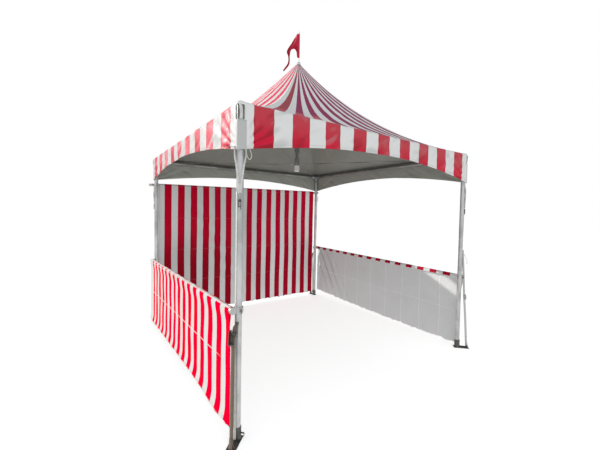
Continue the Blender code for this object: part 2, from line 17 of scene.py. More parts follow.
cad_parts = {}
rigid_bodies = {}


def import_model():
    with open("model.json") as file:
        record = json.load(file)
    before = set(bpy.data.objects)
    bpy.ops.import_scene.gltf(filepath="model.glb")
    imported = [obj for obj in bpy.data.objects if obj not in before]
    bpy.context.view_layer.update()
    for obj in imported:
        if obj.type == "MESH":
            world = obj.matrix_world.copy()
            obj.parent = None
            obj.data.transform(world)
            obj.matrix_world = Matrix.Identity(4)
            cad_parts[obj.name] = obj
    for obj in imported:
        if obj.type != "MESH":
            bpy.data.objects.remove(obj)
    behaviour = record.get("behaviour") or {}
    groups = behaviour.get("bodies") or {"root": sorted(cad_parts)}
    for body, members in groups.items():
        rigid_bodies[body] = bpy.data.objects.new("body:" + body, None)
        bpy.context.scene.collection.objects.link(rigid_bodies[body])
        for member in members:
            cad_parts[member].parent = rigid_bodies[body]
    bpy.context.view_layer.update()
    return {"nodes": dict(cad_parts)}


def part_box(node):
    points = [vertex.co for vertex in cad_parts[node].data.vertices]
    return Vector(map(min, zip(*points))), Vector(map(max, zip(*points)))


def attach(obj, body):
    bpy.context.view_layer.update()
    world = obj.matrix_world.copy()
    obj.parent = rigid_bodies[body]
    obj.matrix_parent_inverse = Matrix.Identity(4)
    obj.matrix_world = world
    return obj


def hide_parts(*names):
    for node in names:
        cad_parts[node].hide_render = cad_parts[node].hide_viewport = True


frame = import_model()

# %% [markdown]
# ## The camera
# The photograph was taken at eye height from outside the front left corner. The camera's place and turn were
# solved from the feet, the corners and the peak, so a plain perspective camera is enough: no shift, no blur.

# %% Place the camera
CAMERA_PLACE = Vector((-2.41875, -3.57341, 1.65455))
CAMERA_YAW = radians(34.87824)        # from straight ahead (+Y) towards +X
CAMERA_PITCH = radians(-2.154367)
CAMERA_ROLL = radians(1.09834)
FOCAL_PIXELS = 315.932
PHOTO_WIDTH = 600

ahead = Vector((sin(CAMERA_YAW) * cos(CAMERA_PITCH), cos(CAMERA_YAW) * cos(CAMERA_PITCH), sin(CAMERA_PITCH)))
level = Vector((cos(CAMERA_YAW), -sin(CAMERA_YAW), 0))
upright = level.cross(ahead)
right = level * cos(CAMERA_ROLL) + upright * sin(CAMERA_ROLL)
above = upright * cos(CAMERA_ROLL) - level * sin(CAMERA_ROLL)
camera = bpy.data.objects.new("camera", bpy.data.cameras.new("camera"))
camera.data.lens = camera.data.sensor_width * FOCAL_PIXELS / PHOTO_WIDTH
camera.matrix_world = Matrix.Translation(CAMERA_PLACE) @ Matrix((right, above, -ahead)).transposed().to_4x4()
bpy.context.scene.collection.objects.link(camera)
bpy.context.scene.camera = camera
print("camera lens in mm:", round(camera.data.lens, 2))

# %% [markdown]
# ## Node helpers
# Materials need dozens of nodes. A few helpers keep each of them on one line: one adds a node with its settings
# and inputs, and a field wraps an output so that plain +, -, * and / between fields add the Math nodes.

# %% Add nodes in one line
def put(tree, value, socket):
    """A socket takes a field, another node's output or a plain value."""
    value = getattr(value, "socket", value)
    if isinstance(value, bpy.types.NodeSocket):
        tree.links.new(value, socket)
    else:
        socket.default_value = value


def node(tree, kind, inputs=(), **settings):
    made = tree.nodes.new("ShaderNode" + kind)
    for key, value in settings.items():
        setattr(made, key, value)
    for key, value in dict(inputs).items():
        put(tree, value, made.inputs[key])
    return made


# %% Sums with fields
class Field:
    """A number or a colour that varies over a surface, with the node tree that it belongs to."""

    def __init__(self, socket):
        self.socket, self.tree = socket, socket.id_data

    def math(self, operation, second=0.0, third=0.0):
        return Field(node(self.tree, "Math", {0: self, 1: second, 2: third}, operation=operation).outputs[0])

    def __add__(self, other):
        return self.math("ADD", other)

    def __sub__(self, other):
        return self.math("SUBTRACT", other)

    def __rsub__(self, other):
        return Field(node(self.tree, "Math", {0: other, 1: self}, operation="SUBTRACT").outputs[0])

    def __mul__(self, other):
        return self.math("MULTIPLY", other)

    def __truediv__(self, other):
        return self.math("DIVIDE", other)

    def __abs__(self):
        return self.math("ABSOLUTE")


def fields(sockets):
    return {socket.name: Field(socket) for socket in sockets}


print("fields can be added, subtracted, multiplied and divided")


# %% Ramps, mixes and things to read
def ramp(value, low, high, to_low=0.0, to_high=1.0):
    """value between low and high, spread smoothly from to_low to to_high."""
    sockets = {"Value": value, "From Min": low, "From Max": high, "To Min": to_low, "To Max": to_high}
    return Field(node(value.tree, "MapRange", sockets, interpolation_type="SMOOTHSTEP").outputs[0])


def mix(share, first, second):
    """The first colour where share is 0 and the second where it is 1."""
    tree = next(part.tree for part in (share, first, second) if isinstance(part, Field))
    return Field(node(tree, "Mix", {0: share, 6: first, 7: second}, data_type="RGBA").outputs[2])


def noise_field(tree, place, scale, detail, roughness=0.5, distortion=0.0):
    sockets = {"Vector": place, "Scale": scale, "Detail": detail, "Roughness": roughness,
               "Distortion": distortion}
    return Field(node(tree, "TexNoise", sockets).outputs["Fac"])


def parts_of(tree, vector):
    return fields(node(tree, "SeparateXYZ", {0: vector}).outputs)


def attribute(tree, name):
    return Field(node(tree, "Attribute", attribute_name=name).outputs["Fac"])


def object_place(tree):
    return node(tree, "TexCoord").outputs["Object"]


def cut_map(tree):
    """Flat place on the cut cloth, in metres."""
    return node(tree, "UVMap", uv_map="cut").outputs["UV"]


# %% [markdown]
# ## The studio
# The light is soft and comes from all round, with one firmer lamp behind the left side. That lamp gives the
# left wall and valance their glare, and it reaches through the gap over the rear wall to the right wall.
# The world is brighter for the camera than for the tent, so that the backdrop stays white while the cloth
# keeps its shading. The floor is a single pale face, also paler for the camera than for the tent, and the firm
# lamp leaves it out: its shadows are then only the soft ones of the sky.

# %% Light the studio
KEY_HEADING = Vector((0.77, -1.0, -0.487))
KEY_STRENGTH = 2.5
KEY_ANGLE = radians(0.8)
KEY_COLOUR = (1.0, 0.97, 0.92)
SKY_LIGHT = (0.95, 0.975, 1.0, 1.0)
SKY_STRENGTH = (0.16, 0.76)       # behind the tent, and on the open side
OPEN_SIDE = (-0.35, -0.84, 0.42)


def shown_and_lit(tree, shown, lit):
    """The camera sees the first shader, and the tent is lit by the second."""
    by_camera = node(tree, "LightPath").outputs["Is Camera Ray"]
    return node(tree, "MixShader", {0: by_camera, 1: lit.outputs[0], 2: shown.outputs[0]}).outputs[0]


world = bpy.data.worlds.new("studio")
world.use_nodes = True
sky = world.node_tree
sky.nodes.clear()
seen = node(sky, "Background", {"Color": (1, 1, 1, 1), "Strength": 1.0})
heading = node(sky, "TexCoord").outputs["Generated"]
towards = Field(node(sky, "VectorMath", {0: heading, 1: OPEN_SIDE}, operation="DOT_PRODUCT").outputs["Value"])
lit = node(sky, "Background", {"Color": SKY_LIGHT, "Strength": ramp(towards, -1.0, 1.0, *SKY_STRENGTH)})
node(sky, "OutputWorld", {"Surface": shown_and_lit(sky, seen, lit)})
bpy.context.scene.world = world
bpy.context.scene.view_settings.view_transform = "Standard"

key = bpy.data.objects.new("key_lamp", bpy.data.lights.new("key_lamp", "SUN"))
key.data.energy = KEY_STRENGTH
key.data.angle = KEY_ANGLE
key.data.color = KEY_COLOUR
key.rotation_euler = KEY_HEADING.to_track_quat("-Z", "Y").to_euler()
bpy.context.scene.collection.objects.link(key)
print("key lamp points along", [round(part, 2) for part in KEY_HEADING.normalized()])

# %% Lay the floor
FLOOR_SIZE = 60.0
FLOOR_SHOWN = {"Base Color": (0.90, 0.90, 0.89, 1), "Emission Color": (1, 1, 1, 1), "Emission Strength": 0.59}
FLOOR_LIT = {"Base Color": (0.35, 0.35, 0.34, 1), "Emission Color": (1, 1, 0.98, 1), "Emission Strength": 0.64}

floor_bm = bmesh.new()
bmesh.ops.create_grid(floor_bm, x_segments=1, y_segments=1, size=FLOOR_SIZE / 2)
floor_mesh = bpy.data.meshes.new("floor")
floor_bm.to_mesh(floor_mesh)
floor_bm.free()
floor = bpy.data.objects.new("floor", floor_mesh)
bpy.context.scene.collection.objects.link(floor)
floor_material = bpy.data.materials.new("pale_floor")
floor_material.use_nodes = True
floor_tree = floor_material.node_tree
floor_tree.nodes.clear()
pale, bounced = [node(floor_tree, "BsdfPrincipled", {**look, "Roughness": 0.9})
                 for look in (FLOOR_SHOWN, FLOOR_LIT)]
node(floor_tree, "OutputMaterial", {"Surface": shown_and_lit(floor_tree, pale, bounced)})
floor_mesh.materials.append(floor_material)
print("floor laid,", FLOOR_SIZE, "m across")

# %% [markdown]
# ## Shared effects
# Stripes, creases, grime, metal wear and webbing turn up on many pieces, so each is a shader group that is
# built once. A group gives out only masks, heights and numbers. The shader itself stays in the material.

# %% Make and use a shader group
def make_group(name, inputs, work):
    """A group whose inputs have these defaults, or None for a vector. work makes its outputs, all of them
    numbers."""
    tree = bpy.data.node_groups.new(name, "ShaderNodeTree")
    for label, value in inputs.items():
        kind = "NodeSocketFloat" if isinstance(value, float) else "NodeSocketVector"
        socket = tree.interface.new_socket(name=label, in_out="INPUT", socket_type=kind)
        if value is not None:
            socket.default_value = value
    results = work(tree, fields(tree.nodes.new("NodeGroupInput").outputs))
    for label in results:
        tree.interface.new_socket(name=label, in_out="OUTPUT", socket_type="NodeSocketFloat")
    ends = tree.nodes.new("NodeGroupOutput").inputs
    for label, field in results.items():
        put(tree, field, ends[label])
    print("group:", name)
    return tree


def use_group(tree, group, inputs):
    return fields(node(tree, "Group", inputs, node_tree=group).outputs)


# %% Stripes and the seams between them
def work_stripes(tree, given):
    """Even stripes across a cloth: the coloured ones are 1, and so is each welded seam in its own mask."""
    across, width = given["Across"], given["Stripe Width"]
    steps = (across - given["First Edge"]) / width
    coloured = (steps.math("MAXIMUM", 0.0) * 0.5).math("FRACT")
    striped = abs(coloured - 0.25).math("LESS_THAN", given["Red Share"].math("MULTIPLY_ADD", 0.5, 0.0002))
    inside = across.math("GREATER_THAN", given["Outer Edge"]) * across.math("LESS_THAN", given["Last Edge"])
    to_seam = abs((steps + 0.5).math("PINGPONG", 1.0) - 0.5) * width
    return {"Mask": striped * inside, "Seam": ramp(to_seam, 0.0, given["Seam Width"], 1.0, 0.0)}


STRIPES = make_group("stripes", {"Across": 0.0, "First Edge": 0.0, "Last Edge": 1.0, "Stripe Width": 0.1,
                                 "Seam Width": 0.003, "Red Share": 0.5, "Outer Edge": 0.0}, work_stripes)


# %% Creases, scrim and grime of coated cloth
def work_vinyl(tree, given):
    """Coated cloth: a height of soft crumples and a fine scrim, and a mask of blotches and grime."""
    place = given["Vector"]
    crumple = 1.0 - abs(noise_field(tree, place, given["Crumple Scale"], 3.0, 0.45, 0.9) - 0.5)
    threads = {"Color1": (1, 1, 1, 1), "Color2": (1, 1, 1, 1), "Mortar": (0, 0, 0, 1), "Mortar Size": 0.12,
               "Brick Width": 0.5, "Row Height": 0.5}
    scrim = node(tree, "TexBrick", {"Vector": place, "Scale": given["Scrim Scale"], **threads})
    return {"Height": crumple + Field(scrim.outputs["Fac"]) * -0.012,
            "Grime": ramp(noise_field(tree, place, given["Grime Scale"], 6.0, 0.65), 0.45, 0.75),
            "Scuff": ramp(noise_field(tree, place, 38.0, 4.0, 0.7), 0.35, 0.75)}


VINYL = make_group("vinyl", {"Vector": None, "Crumple Scale": 9.0, "Scrim Scale": 420.0, "Grime Scale": 2.5},
                   work_vinyl)


# %% Packing folds
def work_folds(tree, given):
    """The straight creases that a wall keeps from being packed, upright and along it, each at an even pitch."""
    turns = ((given["Across"] + given["Wander"]) / given["Pitch"]).math("PINGPONG", 0.5)
    upright_fold = ramp(turns * given["Pitch"], 0.0, given["Width"], 1.0, 0.0)
    rises = ((given["Up"] + given["Wander"] * 0.4) / given["Rise"]).math("PINGPONG", 0.5)
    long_fold = ramp(rises * given["Rise"], 0.0, given["Width"] * 0.7, 1.0, 0.0)
    return {"Height": upright_fold.math("MAXIMUM", long_fold), "Long Fold": long_fold}


FOLDS = make_group("packing_folds", {"Across": 0.0, "Up": 0.0, "Pitch": 0.31, "Rise": 0.45, "Wander": 0.0,
                                     "Width": 0.012}, work_folds)


# %% Wear on bare metal
def work_metal(tree, given):
    """Metal that has been handled: fine lines along the tube, dull patches and small dark marks."""
    place = given["Vector"]
    drawn = node(tree, "VectorMath", {0: place, 1: given["Line Scale"]}, operation="MULTIPLY").outputs[0]
    return {"Lines": noise_field(tree, drawn, 1.0, 3.0),
            "Dull": ramp(noise_field(tree, place, 4.5, 5.0, 0.6), 0.35, 0.7),
            "Marks": ramp(noise_field(tree, place, 14.0, 8.0, 0.75), 0.58, 0.72)}


METAL_WEAR = make_group("metal_wear", {"Vector": None, "Line Scale": (300.0, 300.0, 3.0)}, work_metal)


# %% Woven webbing
def work_webbing(tree, given):
    """Webbing in strap coordinates, in metres: ribs across the strap, finer ones along it, and grime."""
    parts = parts_of(tree, given["Vector"])
    ribs, columns = [(parts[axis] / given["Rib Pitch"]).math("PINGPONG", 1.0) for axis in "YX"]
    return {"Height": ribs * 0.7 + columns * 0.3,
            "Grime": ramp(noise_field(tree, given["Vector"], 30.0, 5.0, 0.7), 0.4, 0.7)}


WEBBING = make_group("webbing", {"Vector": None, "Rib Pitch": 0.0022}, work_webbing)

# %% [markdown]
# ## Materials
# Each finish starts as a Principled shader with its plain numbers set on the shader itself. What varies over
# the surface comes from the groups and goes to the colour, the roughness or a bump.

# %% Start a material and feed it
def start_material(name, **plain):
    material = bpy.data.materials.new(name)
    material.use_nodes = True
    feed(material, **plain)
    return material, material.node_tree


def feed(material, **inputs):
    """Sets or links inputs of the material's shader, with _ for a space in their names."""
    for key, value in inputs.items():
        shader = material.node_tree.nodes["Principled BSDF"]
        put(material.node_tree, value, shader.inputs[key.replace("_", " ")])


def bump(height, distance, strength=1.0):
    sockets = {"Height": height, "Distance": distance, "Strength": strength}
    return Field(node(height.tree, "Bump", sockets).outputs["Normal"])


# %% Colours of the vinyl
CANOPY_RED = (0.64, 0.002, 0.030, 1)
SKY_GLARE_RED = (0.56, 0.200, 0.220, 1)         # painted glare high on the valance and on its fold ridges
LOW_RED = (0.80, 0.007, 0.050, 1)            # low on the front valance
DEEP_RED = (0.68, 0.0001, 0.036, 1)          # there, beside the near corner
EAVE_SUNLIT_RED = (0.58, 0.130, 0.160, 1)           # low on the roof: painted sunlight
# mauve: the sky's reflection painted on the roof slopes
SKY_TINTED_ROOF_RED = (0.34, 0.048, 0.130, 1)
# painted shade: a browner red beside the left hips, high on the roof
HIP_SHADE_RED = (0.42, 0.085, 0.105, 1)
SUNLIT_SLOPE_RED = (0.92, 0.095, 0.165, 1)      # painted sunlight on the left slope
SUN_GLARE_PINK = (1.0, 0.155, 0.215, 1)        # painted glare of the lamp on the left valance
# a duller white for the lamp-lit left valance, also painted as glints on its fold ridges
SUN_SIDE_WHITE = (0.64, 0.64, 0.63, 1)
SUNLIT_WALL_RED = (0.93, 0.0002, 0.035, 1)        # left wall: a brighter red that paints the lamp's light on it
SHADE_RED = (0.48, 0.0001, 0.018, 1)         # right wall
REAR_RED = (0.60, 0.0002, 0.026, 1)
REAR_LOW_RED = (0.35, 0.0001, 0.012, 1)
FAR_END_LIT_RED = (0.86, 0.001, 0.060, 1)          # painted light: the rear wall is brighter at its right end
# painted light at the rear wall's right end, for its white
FAR_END_LIT_WHITE = (0.93, 0.93, 0.92, 1)
WHITE = (0.83, 0.84, 0.83, 1)
VALANCE_WHITE = (0.87, 0.88, 0.87, 1)
WALL_WHITE = (0.76, 0.765, 0.765, 1)
# a duller white for the left wall: with the red above, the lit copy of the wall vinyl
SUNLIT_WALL_WHITE = (0.70, 0.705, 0.69, 1)
# painted highlight along packing creases
CREASE_HIGHLIGHT_WHITE = (1.0, 1.0, 0.99, 1)
WALL_BACK = (0.74, 0.745, 0.755, 1)
# greys that paint the shade under the canopy, darker still under the roof
VALANCE_BACK_SHADE = (0.38, 0.387, 0.352, 1)
ROOF_UNDERSIDE_SHADE = (0.232, 0.238, 0.213, 1)
# greyer than the canopy's white: painted shade on the corner patches
PATCH_SHADE_GREY = (0.575, 0.58, 0.58, 1)
RED_SEAM = (0.26, 0.002, 0.012, 1)
WHITE_SEAM = (0.50, 0.50, 0.49, 1)
GRIME = (0.48, 0.47, 0.43, 1)
# painted shade in the hollows of folds
FOLD_SHADE_GREY = (0.10, 0.10, 0.10, 1)
print("reds from", CANOPY_RED[:3], "on new cloth to", SUN_GLARE_PINK[:3], "in the sun")


# %% Colour changes and painted light on the canopy
def weather_and_painted_light(tree, up, grime, red, white):
    """The red and the white of the canopy. A few reds mark places low on the front valance, and the rest is
    painted
    light: glare and highlights, sunlight on the left side and on the low roof, the sky's tint on the roof, and
    shade beside the left hips. up is the height on the cut, under 0 on the valance.
    """
    spot = parts_of(tree, object_place(tree))
    above_eave = ramp(up, -0.012, 0.016)
    # painted highlight on the ridges of the folds
    ridge_highlight = ramp(attribute(tree, "ridge"), 0.15, 0.95, 0.0, 0.75)
    # painted glare of the sky high on the valance, mottled by the grime noise
    sky_glare = ramp(up, -0.26, -0.03, 0.0, 0.55) * ramp(grime, 0.2, 0.8, 0.45, 1.0)
    red = mix(sky_glare.math("MAXIMUM", ridge_highlight), red, SKY_GLARE_RED)
    sunlit_side, front = [ramp(spot[axis], -1.530, -1.518, 1.0, 0.0) for axis in "XY"]
    front_low = front * ramp(up, -0.25, -0.11, 1.0, 0.0)
    near_corner = ramp(spot["X"], -1.22, -1.08, 1.0, 0.0) * front
    red = mix(front_low, red, LOW_RED)
    red = mix(near_corner * front_low, red, DEEP_RED)
    # painted sunlight: a paler red low on the roof
    red = mix(above_eave, red, EAVE_SUNLIT_RED)
    up_roof = up + ramp(spot["X"], -0.33, -0.22, 0.0, 0.60)
    # painted reflection of the sky on the roof, higher up
    red = mix(ramp(up_roof, 0.60, 0.72), red, SKY_TINTED_ROOF_RED)
    leftwards = spot["X"] * -1.0 - abs(spot["Y"])
    bearing = leftwards / (abs(spot["Y"]) + 0.001)
    # painted shade: a browner red beside the left hips
    red = mix(ramp(bearing, -0.24, -0.21) * ramp(up, 0.58, 0.66), red, HIP_SHADE_RED)
    # painted sunlight: a brighter red on the left slope
    red = mix(ramp(leftwards, -0.01, 0.01) * above_eave, red, SUNLIT_SLOPE_RED)
    # painted glare of the lamp on the red of the left valance
    red = mix(sunlit_side * ramp(up, -0.30, -0.22, 0.35, 1.0), red, SUN_GLARE_PINK)
    # painted glints on the fold ridges of the left valance, and a duller white there against the lamp
    red = mix(sunlit_side * ridge_highlight, red, SUN_SIDE_WHITE)
    return red, mix(sunlit_side, white, SUN_SIDE_WHITE)


# %% [markdown]
# ## Striped vinyl
# The printed cloth is welded from red and white strips. A picture of stripes would blur close up, so they are
# worked out from the place on the cut, with a thin darker line at each weld and along the hem. The hollows of soft
# folds are darkened towards the seam colour, a painted shade. The canopy has two such materials that differ in
# gloss, one for the valance and one for the roof, because the roof has gone dull in the sun.

# %% Striped vinyl
HEM_WIDTH = 0.020
STRIPE_CRUMPLE = 0.003
FOLD_SHADE = 0.48            # how much painted shade darkens the hollows of soft folds


def packing_folds(tree, folds, parts, grime, wander):
    """folds are the pitch and rise of the packing creases, and wander how far they stray from straight."""
    return use_group(tree, FOLDS, {"Across": parts["X"], "Up": parts["Y"], "Pitch": folds[0], "Rise": folds[1],
                                   "Wander": (grime - 0.5) * wander})


def striped_vinyl(name, red, bounds, width, roughness, gloss, white, share=0.5, folds=None, worn_fold=0.0,
                  outer_edge=None, low_red=None):
    """Red and white coated cloth, welded at each stripe. bounds are the outer edges of the first and last stripe,
    share how much of the cloth is red, folds the pitch and rise of a wall's packing creases, worn_fold how
    much white is painted on the long crease and on the fold over the rail as a highlight, and low_red the red of
    its lower half. With low_red the cloth also has painted light that brightens it towards its far end. Without
    folds it is the canopy's, with the colour changes and painted light of the canopy."""
    material, tree = start_material(name, Specular_IOR_Level=gloss)
    place = cut_map(tree)
    parts = parts_of(tree, place)
    stripes = use_group(tree, STRIPES, {"Across": parts["X"], "First Edge": bounds[0], "Last Edge": bounds[1],
                                        "Stripe Width": width, "Red Share": share,
                                        "Outer Edge": bounds[0] if outer_edge is None else outer_edge})
    vinyl = use_group(tree, VINYL, {"Vector": place})
    if not folds:
        red, white = weather_and_painted_light(tree, parts["Y"], vinyl["Grime"], red, white)
    if low_red:
        # painted light: the rear wall grows brighter towards its far end
        lit_far_end = ramp(parts["X"], 0.8, 2.3)
        red = mix(ramp(attribute(tree, "over"), 0.30, 0.68), low_red, red)
        red = mix(lit_far_end * 0.2, red, FAR_END_LIT_RED)
        white = mix(lit_far_end, white, FAR_END_LIT_WHITE)
    cloth = mix(stripes["Mask"], white, red)
    seam = mix(stripes["Mask"], WHITE_SEAM, RED_SEAM)
    hem = attribute(tree, "hem")
    hem_line = ramp(abs(hem - HEM_WIDTH), 0.0, 0.0035, 1.0, 0.0)
    edge_line = ramp(hem, 0.001, 0.007, 1.0, 0.0)
    lines = stripes["Seam"].math("MAXIMUM", hem_line).math("MAXIMUM", edge_line)
    cloth = mix(lines * 0.4, cloth, seam)
    # painted shade: the hollows of folds take the seam colour
    cloth = mix(ramp(attribute(tree, "ridge"), -1.0, -0.1, FOLD_SHADE, 0.0), cloth, seam)
    height = vinyl["Height"] + lines * 0.5
    rough = ramp(vinyl["Scuff"], 0.0, 1.0, *roughness)
    if folds:
        packed = packing_folds(tree, folds, parts, vinyl["Grime"], 0.012)
        height = height + packed["Height"] * 0.9
        over = attribute(tree, "over")
        over_rail = ramp(over, 1.22, 1.26) * ramp(over, 1.48, 1.56, 1.0, 0.0)
        long_crease = packed["Long Fold"] * ramp(parts["X"], 0.18, 0.40)
        # painted highlight: white on the long crease and on the fold over the rail
        cloth = mix(long_crease.math("MAXIMUM", over_rail) * worn_fold, cloth, WHITE)
    else:
        rough = rough + ramp(parts["Y"], -0.02, 0.05, 0.0, 0.22)
    grimy = vinyl["Grime"] * stripes["Mask"].math("MULTIPLY_ADD", -0.12, 0.13)
    feed(material, Base_Color=mix(grimy, cloth, GRIME), Roughness=rough, Normal=bump(height, STRIPE_CRUMPLE))
    return material


CANOPY_FIRST_RED = -1.405
CANOPY_STRIPE = 0.1653
CANOPY_STRIPES = 17
CANOPY_LAST_RED = CANOPY_FIRST_RED + CANOPY_STRIPES * CANOPY_STRIPE
canopy_bounds = (CANOPY_FIRST_RED, CANOPY_LAST_RED)
valance_vinyl, roof_vinyl = [
    striped_vinyl(name, CANOPY_RED, canopy_bounds, CANOPY_STRIPE, (0.32, 0.46), gloss, white)
    for name, gloss, white in (("valance_stripes", 0.25, VALANCE_WHITE), ("roof_stripes", 0.10, WHITE))]
print("materials:", valance_vinyl.name, roof_vinyl.name)


# %% [markdown]
# ## Plain vinyl
# Undersides, wall backs and corner patches are of one colour. They show grime, and the backs show the creases of
# packing as paler lines, which are painted highlights. The hollows of folds are painted darker as shade.

# %% Plain vinyl: undersides, backs and patches
def plain_vinyl(name, colour, folds=None, crumple=0.0012, grime=0.18, roughness=(0.42, 0.58), roof_shade=None):
    """Vinyl of one colour, with packing creases painted paler as highlights if folds are given, the hollows of its
    folds painted darker as shade, and another colour above the eave, which for the canopy paints the deeper shade
    under the roof.
    """
    material, tree = start_material(name, Specular_IOR_Level=0.35)
    place = cut_map(tree)
    parts = parts_of(tree, place)
    vinyl = use_group(tree, VINYL, {"Vector": place})
    if roof_shade:
        # for the canopy, a darker grey above the eave paints the shade under the roof
        colour = mix(ramp(parts["Y"], -0.03, 0.02), colour, roof_shade)
    cloth = mix(vinyl["Grime"] * grime, colour, GRIME)
    # painted shade: the hollows of folds are darkened
    hollow = ramp(attribute(tree, "ridge"), -0.1, 1.6, 0.0, 0.6)
    cloth = mix(hollow, cloth, mix(0.5, cloth, FOLD_SHADE_GREY))
    height = vinyl["Height"]
    if folds:
        packed = packing_folds(tree, folds, parts, vinyl["Grime"], 0.02)
        height = height + packed["Height"] * 0.5
        # painted highlight: the packing creases are made paler
        cloth = mix(packed["Height"] * 0.5, cloth, CREASE_HIGHLIGHT_WHITE)
    feed(material, Base_Color=cloth, Roughness=ramp(vinyl["Scuff"], 0.0, 1.0, *roughness),
         Normal=bump(height, crumple))
    return material


# the canopy's back: its greys paint the shade under the canopy
canopy_back = plain_vinyl("canopy_back", VALANCE_BACK_SHADE, roof_shade=ROOF_UNDERSIDE_SHADE)
# a grey for the white corner patches: painted shade on them
white_vinyl = plain_vinyl("white_vinyl", PATCH_SHADE_GREY, crumple=0.0020, grime=0.35, roughness=(0.60, 0.72))
print("materials:", canopy_back.name, white_vinyl.name)


# %% [markdown]
# ## Metals
# The tubes are drawn aluminium, the corner fittings cast, the small parts plated or dark steel. One function makes
# them all: a noise drawn out along the tube gives its fine lines, and a finer even one the grain of the castings.

# %% Metals
def grey(value, blue=0.0):
    return (value, value, value + blue, 1)


def bare_metal(name, colour, dull_colour, lines, roughness, metallic=1.0, marks=0.25):
    """Tube or plate metal, with its drawing lines along the direction of the smallest number in lines."""
    material, tree = start_material(name, Metallic=metallic)
    wear = use_group(tree, METAL_WEAR, {"Vector": object_place(tree), "Line Scale": lines})
    dulled = mix(wear["Dull"], colour, dull_colour)
    rough = ramp(wear["Dull"], 0.0, 1.0, *roughness)
    feed(material, Base_Color=mix(wear["Marks"] * marks, dulled, grey(0.10, -0.01)),
         Roughness=rough + (wear["Lines"] - 0.5) * 0.2, Normal=bump(wear["Lines"], 0.00015, 0.6))
    return material


LINES_ALONG = {"x": (3.0, 300.0, 300.0), "y": (300.0, 3.0, 300.0), "z": (300.0, 300.0, 3.0)}
CAST_GRAIN = (60.0, 60.0, 60.0)
STEEL_GRAIN = (90.0, 90.0, 90.0)
tube_metal = {axis: bare_metal("tube_metal_" + axis, grey(0.72), grey(0.50), lines, (0.30, 0.46), 0.85)
              for axis, lines in LINES_ALONG.items()}
cast_metal = bare_metal("cast_metal", (0.58, 0.59, 0.60, 1), (0.44, 0.45, 0.46, 1), CAST_GRAIN, (0.42, 0.6),
                        0.85, 0.4)
plated_steel = bare_metal("plated_steel", (0.50, 0.51, 0.52, 1), (0.34, 0.35, 0.35, 1), STEEL_GRAIN, (0.35, 0.6))
dark_steel = bare_metal("dark_steel", grey(0.17, -0.01), grey(0.09, -0.01), STEEL_GRAIN, (0.35, 0.6), 0.9, 0.5)
# darker, duller copies of the tube metal: painted shade for the tubes under the cloth
shaded_metal = {axis: bare_metal("old_tube_metal_" + axis, grey(0.34, -0.01), grey(0.22, -0.01), lines,
                                 (0.42, 0.6), 0.8, 0.5)
                for axis, lines in LINES_ALONG.items()}
print("metals:", len(tube_metal) + len(shaded_metal) + 3)


# %% [markdown]
# ## Wire rope, plastic and woven cloth
# The strands of a wire rope are too fine to model, so a slanted wave draws them in its colour and relief. Plastic
# is plain with a little grime. Webbing and the thin cloth of the pennant share one weave, at two pitches.

# %% Wire rope, plastic and woven cloth
def wire_rope(name):
    """Strands that wind round the cable, drawn by a slanted wave on object coordinates."""
    material, tree = start_material(name, Metallic=0.9)
    wave = {"Vector": object_place(tree), "Scale": 60.0, "Distortion": 0.4}
    strands = Field(node(tree, "TexWave", wave, bands_direction="DIAGONAL").outputs["Fac"])
    feed(material, Base_Color=mix(strands, grey(0.12, -0.01), grey(0.36, -0.01)),
         Roughness=ramp(strands, 0.0, 1.0, 0.6, 0.38), Normal=bump(strands, 0.0008))
    return material


def moulded_plastic(name, colour):
    material, tree = start_material(name, Specular_IOR_Level=0.5)
    vinyl = use_group(tree, VINYL, {"Vector": object_place(tree), "Crumple Scale": 60.0, "Grime Scale": 18.0})
    feed(material, Base_Color=mix(vinyl["Grime"] * 0.25, colour, GRIME),
         Roughness=ramp(vinyl["Scuff"], 0.0, 1.0, 0.3, 0.5), Normal=bump(vinyl["Height"], 0.0002))
    return material


def woven(name, colour, soiled, soil, relief, rib_pitch=0.0022, rough=None, **plain):
    """Webbing or thin cloth. rough is the range of its roughness, where the grime changes that."""
    material, tree = start_material(name, **plain)
    weave = use_group(tree, WEBBING, {"Vector": cut_map(tree), "Rib Pitch": rib_pitch})
    feed(material, Base_Color=mix(weave["Grime"] * soil, colour, soiled), Normal=bump(weave["Height"], relief))
    if rough:
        feed(material, Roughness=ramp(weave["Grime"], 0.0, 1.0, *rough))
    return material


WEBBING_SHEEN = dict(Roughness=0.75, Sheen_Weight=0.2, Specular_IOR_Level=0.3)
cable_metal = wire_rope("wire_rope")
white_plastic = moulded_plastic("white_plastic", (0.78, 0.78, 0.75, 1))
collar_plastic = moulded_plastic("peak_collar", (0.85, 0.86, 0.855, 1))
# a dark sheet that paints the shade inside the corner slots
slot_shade_plastic = moulded_plastic("slot_pad", (0.11, 0.115, 0.10, 1))
white_webbing = woven("white_webbing", (0.80, 0.80, 0.78, 1), (0.46, 0.45, 0.42, 1), 0.4, 0.0006,
                      **WEBBING_SHEEN)
olive_webbing = woven("olive_webbing", (0.20, 0.17, 0.125, 1), (0.34, 0.16, 0.13, 1), 0.5, 0.0006,
                      **WEBBING_SHEEN)
pennant_cloth = woven("pennant_cloth", (0.60, 0.020, 0.060, 1), (0.46, 0.014, 0.045, 1), 0.5, 0.0003, 0.0012,
                      (0.6, 0.8), Sheen_Weight=0.15, Specular_IOR_Level=0.25)
print("materials:", cable_metal.name, white_plastic.name, white_webbing.name, olive_webbing.name)

# %% [markdown]
# ## Cutting and draping cloth
# A sheet starts as it does in a workshop: cut flat. A grid of faces is the cut, and its flat place in metres is
# kept as a UV map, so that stripes and seams stay where they were printed however the cloth then hangs.
# Draping moves each point of the cut to its place on the tent. This holds the exact lines of the frame better
# than a simulation would, because these cloths are stretched or hang flat with small, steady folds.

# %% Cut a sheet and drape it
def raised(height):
    return Vector((0, 0, height))


